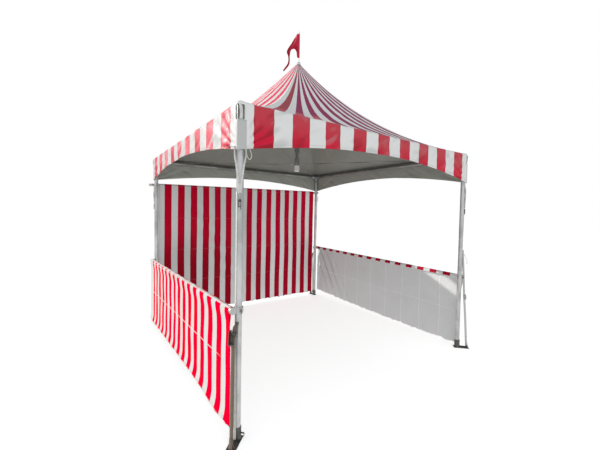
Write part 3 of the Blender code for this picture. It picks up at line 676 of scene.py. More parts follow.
def clamp(value):
    return max(0.0, min(1.0, value))


def spread(edges, step):
    """Positions from the first edge to the last that keep every edge, at most a step apart."""
    places = [edges[0]]
    for start, end in zip(edges, edges[1:]):
        pieces = max(1, ceil((end - start) / step - 1e-6))
        places += [start + (end - start) * k / pieces for k in range(1, pieces + 1)]
    return places


def cut_sheet(columns, rows, flat_place=None, hem_gap=None):
    """A flat grid with its lines at these positions. flat_place gives the metres on the cut, if they differ, and
    hem_gap the distance from the lower edge."""
    bm = bmesh.new()
    wide, high = len(columns) - 1, len(rows) - 1
    bmesh.ops.create_grid(bm, x_segments=wide, y_segments=high, size=0.5)
    for vert in bm.verts:
        column, row = round((vert.co.x + 0.5) * wide), round((vert.co.y + 0.5) * high)
        vert.co = (columns[column], rows[row], 0)
    cut = bm.loops.layers.uv.new("cut")
    for face in bm.faces:
        for loop in face.loops:
            across, along = loop.vert.co.xy
            loop[cut].uv = flat_place(across, along) if flat_place else (across, along)
    if hem_gap:
        mark_points(bm, "hem", hem_gap)
    return bm


def mark_points(bm, name, value):
    """Keeps a number at each point of the cut, for the materials to read."""
    layer = bm.verts.layers.float.new(name)
    for vert in bm.verts:
        vert[layer] = value(vert.co.x, vert.co.y)


def drape(bm, place):
    for vert in bm.verts:
        vert.co = place(vert.co.x, vert.co.y)
    return bm


# %% Turn a mesh into a finished piece
def finish_piece(name, bm, materials, replaces=()):
    mesh = bpy.data.meshes.new(name)
    bm.to_mesh(mesh)
    bm.free()
    piece = bpy.data.objects.new(name, mesh)
    bpy.context.scene.collection.objects.link(piece)
    for material in materials:
        mesh.materials.append(material)
    for polygon in mesh.polygons:
        polygon.use_smooth = True
    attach(piece, "root")
    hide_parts(*replaces)
    return piece


def thicken(piece, thickness, back_slot=0, offset=-1.0):
    """Gives a sheet its real thickness, with the back in its own material."""
    layer = piece.modifiers.new("thickness", "SOLIDIFY")
    layer.thickness = thickness
    layer.offset = offset
    layer.material_offset = back_slot
    layer.use_even_offset = False


def ripple(across, along, size, seed):
    """Smooth, repeatable unevenness between -1 and 1."""
    return noise.noise(Vector((across / size, along / size, seed)))


# %% [markdown]
# ## The canopy
# The real canopy is one welded sheet: four concave slopes that meet in white hips, and a valance with an arched
# lower edge. One slope with its valance is cut here, its lines set on the stripe edges so that these stay sharp,
# and draped. Three turned copies are merged to it along the hips, so the result is a single curved sheet. The
# eave is rounded over its tube, straps pull soft folds from the lower corners, and a slot at each corner's top
# shows the fitting inside.

# %% Canopy dimensions from the frame
front_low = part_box("canopy_front")[0]
CANOPY_HALF = -front_low.y
CORNER_Z = front_low.z
EAVE_Z = 2.4135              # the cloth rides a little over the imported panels, round the eave tubes
MIDDLE_Z = 2.225             # lower edge of the valance, half way along a side
ROOF_RISE = (0.4786, 0.4734, 0.2990)
CROWN_OPENING = 0.022
EAVE_ROUNDING = 0.020
eave_slope = atan2(ROOF_RISE[0], CANOPY_HALF)
eave_set_back = EAVE_ROUNDING * tan((pi / 2 - eave_slope) / 2)
VALANCE_TOP = EAVE_Z - eave_set_back
ROOF_START = CANOPY_HALF - eave_set_back * cos(eave_slope)
SLOT_BOTTOM = 2.300
SLOT_WIDE = 0.048
SLOT_NARROW = 0.030
HEM_DROPS = (((-1, -1), 0.014), ((1, -1), 0.034))      # the front corners hang this much lower, in metres
HEM_DROP_REACH = 1.1
print("eave half width:", round(CANOPY_HALF, 4), "corner bottom:", round(CORNER_Z, 3))


def roof_height(reach):
    rise = 1 - reach / CANOPY_HALF
    return EAVE_Z + rise * (ROOF_RISE[0] + rise * (ROOF_RISE[1] + rise * ROOF_RISE[2]))


def valance_bottom(across):
    return MIDDLE_Z - (MIDDLE_Z - CORNER_Z) * (across / CANOPY_HALF) ** 2


def hem_drop(x, y):
    """How much lower than the even arch the hem hangs here: most at the front corners."""
    drop = 0.0
    for (side_x, side_y), depth in HEM_DROPS:
        away = hypot(x - side_x * CANOPY_HALF, y - side_y * CANOPY_HALF)
        drop += depth * max(0.0, 1 - away / HEM_DROP_REACH) ** 0.8
    return drop


def let_down(place):
    """Lowers a point of the valance with the hem below it."""
    hung = (VALANCE_TOP - place.z) / (VALANCE_TOP - CORNER_Z)
    if hung > 0:
        place.z -= hem_drop(place.x, place.y) * hung


# %% Rows of the canopy: hem, valance, rounded eave, roof
EAVE_STEPS = 6
ROOF_STEPS = 46
slot_share = (SLOT_BOTTOM - CORNER_Z) / (VALANCE_TOP - CORNER_Z)
valance_rows = spread([-1.0, -0.93, -0.90, -1 + slot_share, 0.0], 0.045)
eave_rows = [k / EAVE_STEPS for k in range(1, EAVE_STEPS)]
roof_rows = [1 + share for share in spread([0.0, 1.0], 1 / ROOF_STEPS)]
print("canopy rows:", len(valance_rows), "valance,", len(eave_rows), "eave,", len(roof_rows), "roof")


def canopy_profile(across, row):
    """Distance from the tent's middle and height of a row. Rows under 0 are the valance, those to 1 go round the
    eave, and those to 2 up the roof."""
    if row <= 0:
        return CANOPY_HALF, VALANCE_TOP + row * (VALANCE_TOP - valance_bottom(across))
    if row < 1:
        angle = pi - row * (pi / 2 - eave_slope)
        return CANOPY_HALF - EAVE_ROUNDING * (1 + cos(angle)), VALANCE_TOP + EAVE_ROUNDING * sin(angle)
    reach = ROOF_START + (CROWN_OPENING - ROOF_START) * (row - 1)
    return reach, roof_height(reach)


def canopy_up(across, row):
    """Metres up the cut from the eave."""
    reach, height = canopy_profile(across, row)
    return height - EAVE_Z if row < 1 else hypot(CANOPY_HALF - reach, height - EAVE_Z)


# %% Folds of the canopy
FOLD_RAYS = 22
FOLD_DEPTH = 0.0085
SLANT_DEPTH = 0.0068          # shallow folds that run aslant over the valance and the eave
ROOF_SLANT_DEPTH = 0.0030
UNDER_PATCH = 0.062           # the cloth stays flat this far from the corner, where it is doubled
RIDGE_HEIGHT = 0.0055         # a fold this high counts as 1 in the ridge attribute


def corner_folds(across, height):
    """Folds that fan out from the lower corners, where the straps pull."""
    pulled = 0.0
    for side in (-1, 1):
        inward = CANOPY_HALF - side * across
        upward = height - CORNER_Z
        away = hypot(inward, upward)
        bearing = atan2(upward, max(inward, 1e-4))
        fan = sin(FOLD_RAYS * bearing + 1.1 * ripple(across, height, 0.3, 7.0 + side))
        pulled += fan * exp(-away / 0.30) * min(1.0, away / 0.05)
    return pulled * FOLD_DEPTH


def canopy_fold(across, row, height):
    """How far the cloth stands out of its smooth shape."""
    slant = ripple(across + 0.8 * height, 3.2 * (height - 0.55 * across), 0.22, 2.0)
    from_corner = CANOPY_HALF - abs(across)
    off_patch = clamp((from_corner - UNDER_PATCH) / 0.05)
    if row <= 0:
        flutter = 0.004 * sin(7.0 * across + 0.6) * row ** 2
        return (corner_folds(across, height) + SLANT_DEPTH * slant + flutter) * off_patch
    if row < 1:
        return SLANT_DEPTH * slant * off_patch
    risen = row - 1
    calm = min(1.0, (1 - risen) / 0.2) * min(1.0, from_corner / 0.08)
    pull = 0.0022 * sin(across * 38 + 2.0 * risen) * exp(-risen / 0.10)
    return (ROOF_SLANT_DEPTH * slant + pull) * calm


print("fold half way along the hem:", round(canopy_fold(0.0, -1.0, MIDDLE_Z), 4))


# %% Unevenness of the canopy
FITTING_CENTRE = 1.494        # of the corner fittings that lift the cloth
STRIPE_SHIFT = 0.057
CORNER_ROUND = 0.022
# The roof was laced unevenly: fuller beside the front left hip and towards the rear left corner, tighter along
# the hip. Each swell has a bearing, a height and how narrow it is.
UNEVEN_LIFT = ((radians(212.3), 0.118, 17.3), (radians(225), -0.158, 15.9), (radians(135), 0.083, 1.0))


def corner_bump(reach_x, reach_y):
    """The corner fitting lifts the cloth a little where hip and eave meet."""
    off = hypot(reach_x - FITTING_CENTRE, reach_y - FITTING_CENTRE)
    return 0.013 * exp(-(off / 0.030) ** 2)


def stretched(across):
    """The cloth was pulled more towards one corner when it was laced, which shifts its stripes."""
    share = (across + CANOPY_HALF) / (2 * CANOPY_HALF)
    return across - STRIPE_SHIFT * sin(pi * max(0.0, share) ** 2.4)


def uneven_lift(x, y):
    """Height added to the roof here."""
    swell = sin(pi * min(1.0, max(abs(x), abs(y)) / ROOF_START) ** 0.68)
    bearing = atan2(y, x)
    return swell * sum(depth * ((1 + cos(bearing - middle)) / 2) ** narrow
                       for middle, depth, narrow in UNEVEN_LIFT)


def round_corner(place):
    """Moves a point of the square's corner on to a small round."""
    inner = CANOPY_HALF - CORNER_ROUND
    x, y = abs(place.x) - inner, abs(place.y) - inner
    if x > 0 and y > 0:
        share = max(x, y) / hypot(x, y)
        place.x = (inner + x * share) * (1 if place.x > 0 else -1)
        place.y = (inner + y * share) * (1 if place.y > 0 else -1)


print("stripes shifted in the middle by", round(stretched(0.0), 4))


# %% Cut and drape one slope
ROOF_MATERIAL = 2             # the roof's place among the canopy's materials, after the valance and its back


def canopy_place(across, row):
    across = max(-CANOPY_HALF, min(CANOPY_HALF, stretched(across)))
    reach, height = canopy_profile(across, row)
    narrowed = across * reach / CANOPY_HALF
    fold = canopy_fold(across, row, height)
    lean = clamp(row) * (pi / 2 - eave_slope)
    lift = corner_bump(abs(narrowed), reach) if row > 0 else 0.0
    return Vector((narrowed, -reach - fold * cos(lean), height + fold * sin(lean) + lift))


def canopy_ridge(across, row):
    """The folds of the valance and the eave, for the materials."""
    across = stretched(across)
    return canopy_fold(across, row, canopy_profile(across, row)[1]) / RIDGE_HEIGHT if row < 0.9 else 0.0


def in_slot(place):
    beside_corner = place.x < -CANOPY_HALF + SLOT_WIDE or place.x > CANOPY_HALF - SLOT_NARROW
    return beside_corner and -1 + slot_share < place.y < 0


stripe_edges = [CANOPY_FIRST_RED + k * CANOPY_STRIPE for k in range(CANOPY_STRIPES + 1)]
corner_edges = [-CANOPY_HALF, -CANOPY_HALF + SLOT_WIDE, CANOPY_HALF - SLOT_NARROW, CANOPY_HALF]
corner_edges += [side * (CANOPY_HALF - gap) for side in (-1, 1) for gap in (0.005, 0.010, 0.016, 0.022)]
canopy_columns = spread(sorted(stripe_edges + corner_edges), 0.029)
slope = cut_sheet(canopy_columns, valance_rows + eave_rows + roof_rows,
                  lambda across, row: (across, canopy_up(across, row)),
                  lambda across, row: canopy_profile(across, row)[1] - valance_bottom(across))
slots = [face for face in slope.faces if in_slot(face.calc_center_median())]
bmesh.ops.delete(slope, geom=slots, context="FACES")
for face in slope.faces:
    face.material_index = ROOF_MATERIAL if face.calc_center_median().y > 1 + 1 / ROOF_STEPS else 0
mark_points(slope, "ridge", canopy_ridge)
drape(slope, canopy_place)
print("one slope:", len(slope.faces), "faces,", len(slots), "cut out for the corner slots")


# %% Join four slopes into one sheet
def quarter_turns(bm, verts, turns):
    bmesh.ops.rotate(bm, verts=verts, cent=(0, 0, 0), matrix=Matrix.Rotation(turns * pi / 2, 3, "Z"))


def turn_outward(bm, order, outward):
    """Makes all faces look to the same side, so that the first one in this order looks outward."""
    bmesh.ops.recalc_face_normals(bm, faces=bm.faces)
    first = min(bm.faces, key=lambda face: order(face.calc_center_median()))
    if first.normal.dot(outward) < 0:
        bmesh.ops.reverse_faces(bm, faces=bm.faces)


first_slope = list(slope.verts) + list(slope.edges) + list(slope.faces)
for turn in range(1, 4):
    grown = bmesh.ops.duplicate(slope, geom=first_slope)["geom"]
    quarter_turns(slope, [item for item in grown if isinstance(item, bmesh.types.BMVert)], turn)
bmesh.ops.remove_doubles(slope, verts=slope.verts, dist=0.0002)
for vert in slope.verts:
    let_down(vert.co)
    if max(abs(vert.co.x), abs(vert.co.y)) < ROOF_START:
        vert.co.z += uneven_lift(vert.co.x, vert.co.y)
    round_corner(vert.co)
turn_outward(slope, lambda place: place.y, Vector((0, -1, 0)))
canopy_area = sum(face.calc_area() for face in slope.faces)
canopy = finish_piece("canopy", slope, [valance_vinyl, canopy_back, roof_vinyl, canopy_back],
                      ["canopy_front", "canopy_right", "canopy_rear", "canopy_left"])
thicken(canopy, 0.0012, back_slot=1)
print("canopy area in square metres:", round(canopy_area, 2))

# %% [markdown]
# ## Corner patches and slots
# Each lower corner is doubled with a white patch that wraps round it, and in the slot above it a webbing loop
# holds the cloth to the fitting. The patch is a small sheet of its own, draped on the valance.

# %% Corner patches
PATCH_Z = (2.104, 2.300)
PATCH_REACH = 0.0645
PATCH_WRAP = 0.024
PATCH_STANDS = 0.0022
PATCH_LAP = 0.001
CORNERS = {"front_left": 0, "front_right": 1, "rear_right": 2, "rear_left": 3}        # in quarter turns


def patch_place(across, height):
    """Round the corner: across is negative on the neighbouring side."""
    stands = CANOPY_HALF + PATCH_STANDS + 0.0012 * ripple(across, height, 0.05, 4.0)
    if across < 0:
        return Vector((-stands, -CANOPY_HALF - across - PATCH_LAP, height))
    return Vector((-CANOPY_HALF + across - PATCH_LAP, -stands, height))


def turn_to_corner(bm, corner):
    """Turns a piece that was made at the front left corner to another one."""
    quarter_turns(bm, bm.verts, CORNERS[corner])
    return bm


for corner in CORNERS:
    patch = cut_sheet(spread([-PATCH_WRAP, -0.002, 0.002, PATCH_REACH], 0.005), spread(list(PATCH_Z), 0.014),
                      hem_gap=lambda across, height: height - PATCH_Z[0] + 0.012)
    drape(patch, patch_place)
    turn_to_corner(patch, corner)
    for vert in patch.verts:
        let_down(vert.co)
        round_corner(vert.co)
    piece = finish_piece("corner_patch_" + corner, patch, [white_vinyl])
    thicken(piece, 0.0016)

# %% [markdown]
# ## Straps
# A strap is the narrowest kind of sheet: a ribbon whose cut is its width by its length. A route of listed
# points is smoothed, and the ribbon is laid along it with a given direction across. A thickness finishes it.

# %% Lay a ribbon along a route
def smooth_route(points, steps=7):
    """Points of a smooth curve through the given ones."""
    ends = [points[0] * 2 - points[1], *points, points[-1] * 2 - points[-2]]
    route = [points[0]]
    for before, start, end, after in zip(ends, ends[1:], ends[2:], ends[3:]):
        leave, arrive = start + (end - before) / 6, end - (after - start) / 6
        route += interpolate_bezier(start, leave, arrive, end, steps)[1:]
    return route


def ribbon(route, width, across):
    """A flat strap along the route. across is its direction of width at each point, or one for all."""
    lengths = [0.0]
    for start, end in zip(route, route[1:]):
        lengths.append(lengths[-1] + (end - start).length)
    directions = across if isinstance(across, list) else [across] * len(route)
    lengths = [round(length, 5) for length in lengths]
    where = dict(zip(lengths, zip(route, directions)))
    bm = cut_sheet([-width / 2, 0.0, width / 2], lengths)

    def place(side, length):
        point, direction = where[round(length, 5)]
        return point + direction.normalized() * side
    return drape(bm, place)


def lay_strap(name, route, width, across, webbing, thickness, replaces=(), corner="front_left"):
    """A finished strap. With a corner it is turned there from the front left one."""
    strap = turn_to_corner(ribbon(route, width, across), corner)
    piece = finish_piece(name, strap, [webbing], replaces)
    thicken(piece, thickness, offset=0.0)
    return piece


# %% Directions at the legs
def leg_axis(corner):
    low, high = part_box("leg_" + corner)
    return Vector(((low.x + high.x) / 2, (low.y + high.y) / 2, 0))


def crosswise(direction):
    return Vector((-direction.y, direction.x, 0))


def beside(start, outward, points):
    """Points given by how far out they are from the start and how far up."""
    return [start + outward * away + raised(height) for away, height in points]


def tie_heading(corner):
    """From a leg to its strap eye: along the diagonal at the front, straight back at the rear."""
    return Vector((0, 1, 0)) if corner.startswith("rear") else leg_axis(corner).normalized()


def eave_headings(corner):
    """From a leg along its two eaves."""
    axis = leg_axis(corner)
    return Vector((-axis.x, 0, 0)).normalized(), Vector((0, -axis.y, 0)).normalized()


LEG_OFFSET = -leg_axis("front_left").x
print("leg axes from the middle:", round(LEG_OFFSET, 4))


# %% [markdown]
# ## Small metal parts
# Rods, blocks, rings and bolts are all that the hardware needs. Each comes from one operator and has its edges
# bevelled, because a sharp edge never catches the light as real metal does. A ring is a small circle spun round.

# %% Small metal parts
def turned_to(direction):
    return raised(1).rotation_difference(direction).to_matrix().to_4x4()


def add_rod(bm, start, end, radius, sides=16, rounding=0.0):
    """A round bar from start to end, with its rims rounded."""
    place = Matrix.Translation((start + end) / 2) @ turned_to(end - start)
    made = bmesh.ops.create_cone(bm, cap_ends=True, segments=sides, radius1=radius, radius2=radius,
                                 depth=(end - start).length, matrix=place)
    if rounding:
        rims = {edge for vert in made["verts"] for edge in vert.link_edges
                if any(len(face.verts) > 4 for face in edge.link_faces)}
        round_edges(bm, rims, rounding)


def round_edges(bm, edges, rounding):
    bmesh.ops.bevel(bm, geom=list(edges), offset=rounding, affect="EDGES", segments=2, profile=0.5, material=-1)


def add_block(bm, centre, size, turn=Matrix(), rounding=0.002):
    place = Matrix.Translation(centre) @ turn.to_4x4() @ Matrix.Diagonal((*size, 1))
    made = bmesh.ops.create_cube(bm, size=1.0, matrix=place)
    round_edges(bm, {edge for vert in made["verts"] for edge in vert.link_edges}, rounding)


def add_ring(bm, centre, axis, radius, wire, stretch=1.0, steps=28):
    """A ring of round wire: a small circle spun round the axis, drawn out by stretch along the upright."""
    before = set(bm.verts)
    place = Matrix.Translation((radius, 0, 0)) @ Matrix.Rotation(pi / 2, 4, "X")
    circle = bmesh.ops.create_circle(bm, segments=10, radius=wire, matrix=place)["verts"]
    edges = {edge for vert in circle for edge in vert.link_edges}
    bmesh.ops.spin(bm, geom=list(circle) + list(edges), cent=(0, 0, 0), axis=(0, 0, 1), dvec=(0, 0, 0),
                   angle=2 * pi, steps=steps, use_merge=True)
    made = [vert for vert in bm.verts if vert not in before]
    place = Matrix.Translation(centre) @ Matrix.Diagonal((1, 1, stretch, 1)) @ turned_to(axis)
    bmesh.ops.transform(bm, matrix=place, verts=made)
    bmesh.ops.recalc_face_normals(bm, faces=list({face for vert in made for face in vert.link_faces}))


def add_bolt(bm, place, axis, size):
    """A hexagon head on its washer, standing along axis."""
    axis = axis.normalized()
    add_rod(bm, place, place + axis * size * 0.2, size * 1.15, sides=20)
    add_rod(bm, place + axis * size * 0.2, place + axis * size * 0.85, size, sides=6, rounding=size * 0.12)


def finish_metal(name, bm, metal, replaces=()):
    return finish_piece(name, bm, [metal], replaces)


# %% [markdown]
# ## Canopy straps
# From each lower corner of the canopy two arms of webbing come down beside the leg, meet in a ring and end at a
# buckle. The arms are ribbons that turn as they go, from the sides of the leg to flat before it.

# %% Canopy straps with their ring and buckle
STRAP_WIDTH = 0.0168
STRAP_TOP_Z = {"front_left": 2.115, "front_right": 2.115, "rear_left": 1.995, "rear_right": 1.995}
STRAP_MEET_Z = 1.835
RING_Z = 1.770
BUCKLE_Z = 1.705
BUCKLE_STANDS = 0.0318        # from the leg's axis
STRAP_TURNS = {"front_left": radians(21)}       # this strap sits a little round its leg


def make_canopy_strap(corner):
    """Two arms of webbing come down past both sides of the leg and meet at a ring, with a buckle under it."""
    axis = leg_axis(corner)
    outward = Matrix.Rotation(STRAP_TURNS.get(corner, 0.0), 3, "Z") @ axis.normalized()
    sideways = crosswise(outward)
    top = STRAP_TOP_Z[corner]
    points = ((0.040, 0.006, top), (0.036, 0.010, top - 0.08), (0.024, 0.026, (top + STRAP_MEET_Z) / 2),
              (0.008, 0.031, STRAP_MEET_Z), (0.002, 0.0315, RING_Z + 0.018))
    for side, arm in ((-1, "_left_arm"), (1, "_right_arm")):
        route = smooth_route([axis + sideways * across * side + outward * away + raised(height)
                              for across, away, height in points])
        shares = [k / len(route) for k in range(len(route))]
        lay = [sideways * (0.35 + 0.65 * share) + outward * (0.65 * (1 - share) * side) for share in shares]
        lay_strap("canopy_strap_" + corner + arm, route, STRAP_WIDTH, lay, white_webbing, 0.0022)
    centre = axis + outward * BUCKLE_STANDS
    ring = bmesh.new()
    add_ring(ring, centre + raised(RING_Z), outward, 0.0115, 0.0022, stretch=1.5)
    finish_metal("strap_ring_" + corner, ring, plated_steel)
    buckle = bmesh.new()
    turn = Matrix((sideways, outward, raised(1))).transposed()
    add_block(buckle, centre + raised(BUCKLE_Z + 0.030), (0.024, 0.007, 0.018), turn, 0.0015)
    for side, length in ((-1, 0.044), (1, 0.058)):
        prong = centre + sideways * side * 0.0085 + raised(BUCKLE_Z + 0.024 - length / 2)
        add_block(buckle, prong, (0.0045, 0.006, length), turn, 0.001)
    bar = centre + raised(BUCKLE_Z - 0.012)
    add_rod(buckle, bar - sideways * 0.011, bar + sideways * 0.011, 0.0024, sides=10, rounding=0.0006)
    finish_metal("strap_buckle_" + corner, buckle, dark_steel, ["canopy_strap_" + corner])


for corner in CORNERS:
    make_canopy_strap(corner)
print("canopy straps:", len(CORNERS))

# %% [markdown]
# ## Narrow strap on the near leg
# A narrow white strap is laid down the near leg. It is one more ribbon, set just off the tube.

# %% Narrow strap down the near leg, from the ring to the clamp of the rail
LEG_STRAP_HEADING = Vector((-0.961, -0.275, 0))
LEG_STRAP_POINTS = ((0.0285, 1.800), (0.0268, 1.740), (0.0264, 1.50), (0.0264, 1.20), (0.0268, 0.985))
leg_strap_route = smooth_route(beside(leg_axis("front_left"), LEG_STRAP_HEADING, LEG_STRAP_POINTS))
lay_strap("leg_strap_front_left", leg_strap_route, 0.015, crosswise(LEG_STRAP_HEADING), white_webbing, 0.0018)
print("leg strap points:", len(leg_strap_route))

# %% [markdown]
# ## Tie-downs
# Webbing with a ratchet holds each leg down to its foot plate. It is taut, so it runs nearly straight from the
# ratchet to the eye of the foot, where it turns back. One function makes the ratchet of every leg.

# %% Tie-downs with their ratchets
# Routes are given by how far out from the leg's axis and how far up they are.
TIE_WIDTH = 0.027
TIE_THICKNESS = 0.0024
NARROW_THICKNESS = 0.0022
SHORT_ROUTE = ((0.0275, 0.875), (0.0310, 0.855), (0.0640, 0.848), (0.093, 0.800))
LONG_ROUTE = ((0.0275, 1.235), (0.0300, 1.190), (0.0480, 0.930), (0.064, 0.660))
LOOSE_END = ((0.030, 1.205), (0.050, 1.170), (0.078, 1.105), (0.084, 1.070), (0.072, 1.062))
TAIL = ((0.064, 0.46), (0.050, 0.11), (0.052, 0.035))
STRAP_EYE = (0.108, 0.026)
THROUGH_EYE = ((0.004, -0.011), (0.012, -0.013), (0.017, -0.004), (0.013, 0.010), (0.005, 0.060))
TIE_STEPS = 14
RATCHET_LEAN = radians(-6)
LONG_RATCHET_SIZE = 0.62
# Centre, size and rounding of a ratchet's side plate and handle, and place and radius of its three cross rods.
RATCHET_BLOCKS = (((0, 0.0185, 0), (0.030, 0.0030, 0.112), 0.0008),
                  ((0.021, 0.0215, 0.004), (0.016, 0.0026, 0.094), 0.0007))
RATCHET_RODS = ((0.002, 0.030, 0.0095), (0.000, -0.044, 0.0038), (0.023, -0.038, 0.0050))


def make_ratchet(corner, centre, outward, sideways, size, metal):
    """Two side plates, a slotted spool between them and a folded handle."""
    bm = bmesh.new()
    turn = Matrix((outward, sideways, raised(1))).transposed().to_4x4() @ Matrix.Rotation(RATCHET_LEAN, 4, "Y")
    reach = turn.to_3x3() * size
    for side in (-1, 1):
        for (away, across, height), block, rounding in RATCHET_BLOCKS:
            spot = centre + reach @ Vector((away, side * across, height))
            add_block(bm, spot, [size * part for part in block], turn, rounding)
        wheel = centre + reach @ Vector((0.002, side * 0.0235, 0.030))
        add_rod(bm, wheel, wheel + reach @ Vector((0, side * 0.003, 0)), 0.016 * size, 14, 0.0006)
    for away, height, radius in RATCHET_RODS:
        ends = [centre + reach @ Vector((away, side * 0.020, height)) for side in (-1, 1)]
        add_rod(bm, *ends, radius * size, 14, 0.0008)
    finish_metal("ratchet_" + corner, bm, metal)


def make_tie_down(corner):
    """Webbing leads from the leg to a ratchet and on through the eye of the foot. The front right one starts
    higher, is turned flat to the front and has a loose end. The others have a tail of white webbing."""
    is_long = corner == "front_right"
    axis, outward = leg_axis(corner), tie_heading(corner)
    sideways = crosswise(outward)
    webbing = white_webbing if is_long else olive_webbing
    metal = dark_steel if corner == "front_left" else plated_steel
    facing = (sideways - outward).normalized() if is_long else sideways
    upper = beside(axis, outward, LONG_ROUTE if is_long else SHORT_ROUTE)
    end, eye = upper[-1], beside(axis, outward, [STRAP_EYE])[0]
    lay_strap("tie_down_upper_" + corner, smooth_route(upper), TIE_WIDTH, facing, webbing, TIE_THICKNESS)
    lower = [end + (eye - end) * (k / TIE_STEPS) + outward * 0.003 * sin(pi * k / TIE_STEPS)
             for k in range(TIE_STEPS + 1)]
    lower += beside(eye, outward, THROUGH_EYE)
    turned = [sideways.lerp(facing, min(1.0, (len(lower) - 1 - k) / 9)) for k in range(len(lower))]
    lay_strap("tie_down_lower_" + corner, lower, TIE_WIDTH, turned, webbing, TIE_THICKNESS,
              ["tie_down_" + corner])
    size = LONG_RATCHET_SIZE if is_long else 1.0
    make_ratchet(corner, end + outward * 0.004 + raised(-0.018), outward, sideways, size, metal)
    if is_long:
        loose = smooth_route(beside(axis, outward, LOOSE_END))
        lay_strap("tie_down_loose_" + corner, loose, 0.014, sideways, webbing, NARROW_THICKNESS)
    else:
        tail = smooth_route([end - outward * 0.010 + raised(-0.045), *beside(axis, outward, TAIL)])
        lay_strap("tie_down_tail_" + corner, tail, TIE_WIDTH * 0.8, sideways, white_webbing, NARROW_THICKNESS)


for corner in CORNERS:
    make_tie_down(corner)
print("tie-downs:", len(CORNERS))

# %% [markdown]
# ## Loop inside the hem
# A webbing loop is sewn inside the hem at the near corner. It hangs free, so its route is drawn as a loop and
# the ribbon follows it.

# %% Webbing loop inside the hem, for tying the valance down in wind
LOOP_INSIDE = 0.006
LOOP_POINTS = ((0.074, 0.000, 2.112), (0.062, 0.006, 2.075), (0.084, 0.012, 2.024), (0.106, 0.006, 2.052),
               (0.090, 0.000, 2.112))
loop_route = smooth_route([Vector((-CANOPY_HALF + across, -CANOPY_HALF + LOOP_INSIDE - stands, height))
                           for across, stands, height in LOOP_POINTS])
tie_loop = lay_strap("tie_loop_front_left", loop_route, 0.019, Vector((0.7, 1, 0.1)), white_webbing, 0.003)

# %% [markdown]
# ## Corner slots
# Behind each slot at the top of the valance a dark sheet paints the shade inside the slot, and webbing crosses
# the slot. The sheet is bent round the corner, set back a little so that it stays behind the cloth.

# %% Webbing and dark shade sheets in the corner slots
SHADE_SHEET_EDGE = -CANOPY_HALF + 0.0035
SHADE_SHEET_Z = [SLOT_BOTTOM - 0.008, EAVE_Z - 0.012]
SLOT_STRAP_LIES = Vector((1, 0.12, 0))
SLOT_STRAPS = {          # width, and route as places across, out and up
    "wide": (0.024, ((0.018, 0.002, 2.398), (0.020, -0.004, 2.375), (0.024, -0.002, 2.330),
                     (0.025, 0.003, 2.297))),
    "thin": (0.012, ((0.012, 0.001, 2.399), (0.015, -0.009, 2.378), (0.024, -0.008, 2.340),
                     (0.028, 0.001, 2.312))),
}


def make_slot_webbing(corner):
    """A dark sheet behind the slot paints the shade inside it, and two turns of webbing hold the cloth to the
    fitting.
    """
    shade_sheet = cut_sheet(spread([-0.038, -0.002, 0.002, 0.056], 0.010), spread(SHADE_SHEET_Z, 0.02))
    drape(shade_sheet, lambda across, height: Vector((SHADE_SHEET_EDGE + max(across, 0.0), SHADE_SHEET_EDGE + max(-across, 0.0),
                                              height)))
    for vert in shade_sheet.verts:
        round_corner(vert.co)
    finish_piece("slot_pad_" + corner, turn_to_corner(shade_sheet, corner), [slot_shade_plastic])
    for name, (width, points) in SLOT_STRAPS.items():
        route = smooth_route([Vector((-CANOPY_HALF + across, -CANOPY_HALF + away, height))
                              for across, away, height in points])
        lay_strap("slot_webbing_" + name + "_" + corner, route, width, SLOT_STRAP_LIES, white_webbing, 0.002,
                  corner=corner)


for corner in CORNERS:
    make_slot_webbing(corner)
print("corner slots threaded:", len(CORNERS))

# %% [markdown]
# ## The walls
# A wall hangs over its rail by a fold, with a short flap on the far side, and its lower edge is free. Its cut is
# a rectangle: rows run up the long sheet, over the rail and down the flap. The printed side faces the street, so
# the half walls show stripes outside and on the inner flap, and plain white inside. The full rear wall is hung
# the other way round, with its stripes facing the visitors.

# %% Sizes of the walls
FLAP_HEIGHT = 0.016
RAIL_LOOP_RADIUS = 0.0254
RAIL_LOOP_ROWS = 10
WALL_STRIPES = 29
WALL_OFFSET = 1.543652        # of a rail's axis from the middle of the tent
RAIL_END = -1.516             # front end of the side rails, where the left wall's corner is folded in
NOTCH_ROW = 1.7               # past the clamps the cloth stops here, just over the top of the rail
CLAMP_SWELL = 0.0024          # the fold stands this much wider over a clamp
WALL_RIDGE = 0.012            # a fold this high counts as 1 in the ridge attribute
# side is -1 left, 1 right and 0 rear. rail and bottom are heights at the two ends. hem is the size of the waves in
# the lower edge, arch how far its middle is raised, and sway how far the upright lines wander.
WALLS = {
    "wall_left": dict(side=-1, span=(-1.545, 1.500), flap=(-1.449, 1.445), rail=(0.955, 0.913),
                      bottom=(0.150, 0.058), hem=0.016, arch=0.014, first=-1.530, stripe=0.0977, sway=0.004),
    "wall_right": dict(side=1, span=(-1.505, 1.500), flap=(-1.449, 1.445), rail=(0.890, 0.965),
                       bottom=(0.016, 0.108), hem=0.034, arch=-0.020, first=-1.350, stripe=0.0969, sway=0.006),
    "wall_rear": dict(side=0, span=(-1.4565, 1.448), flap=(-1.4565, 1.448), rail=(2.030, 2.071),
                      bottom=(0.070, 0.070), hem=0.034, arch=0.0, first=-1.368, stripe=0.0969, sway=0.008),
}
print("walls:", ", ".join(WALLS))


def wall_profile(row, drop, radius):
    """Offset towards the long sheet and height above the rail's axis. Rows 0 to 1 are the sheet, those to 2 the
    fold over the rail, and those to 3 the flap."""
    if row <= 1:
        return radius, -drop * (1 - row)
    if row <= 2:
        return radius * cos(pi * (row - 1)), radius * sin(pi * (row - 1))
    return -radius, -FLAP_HEIGHT * (row - 2)


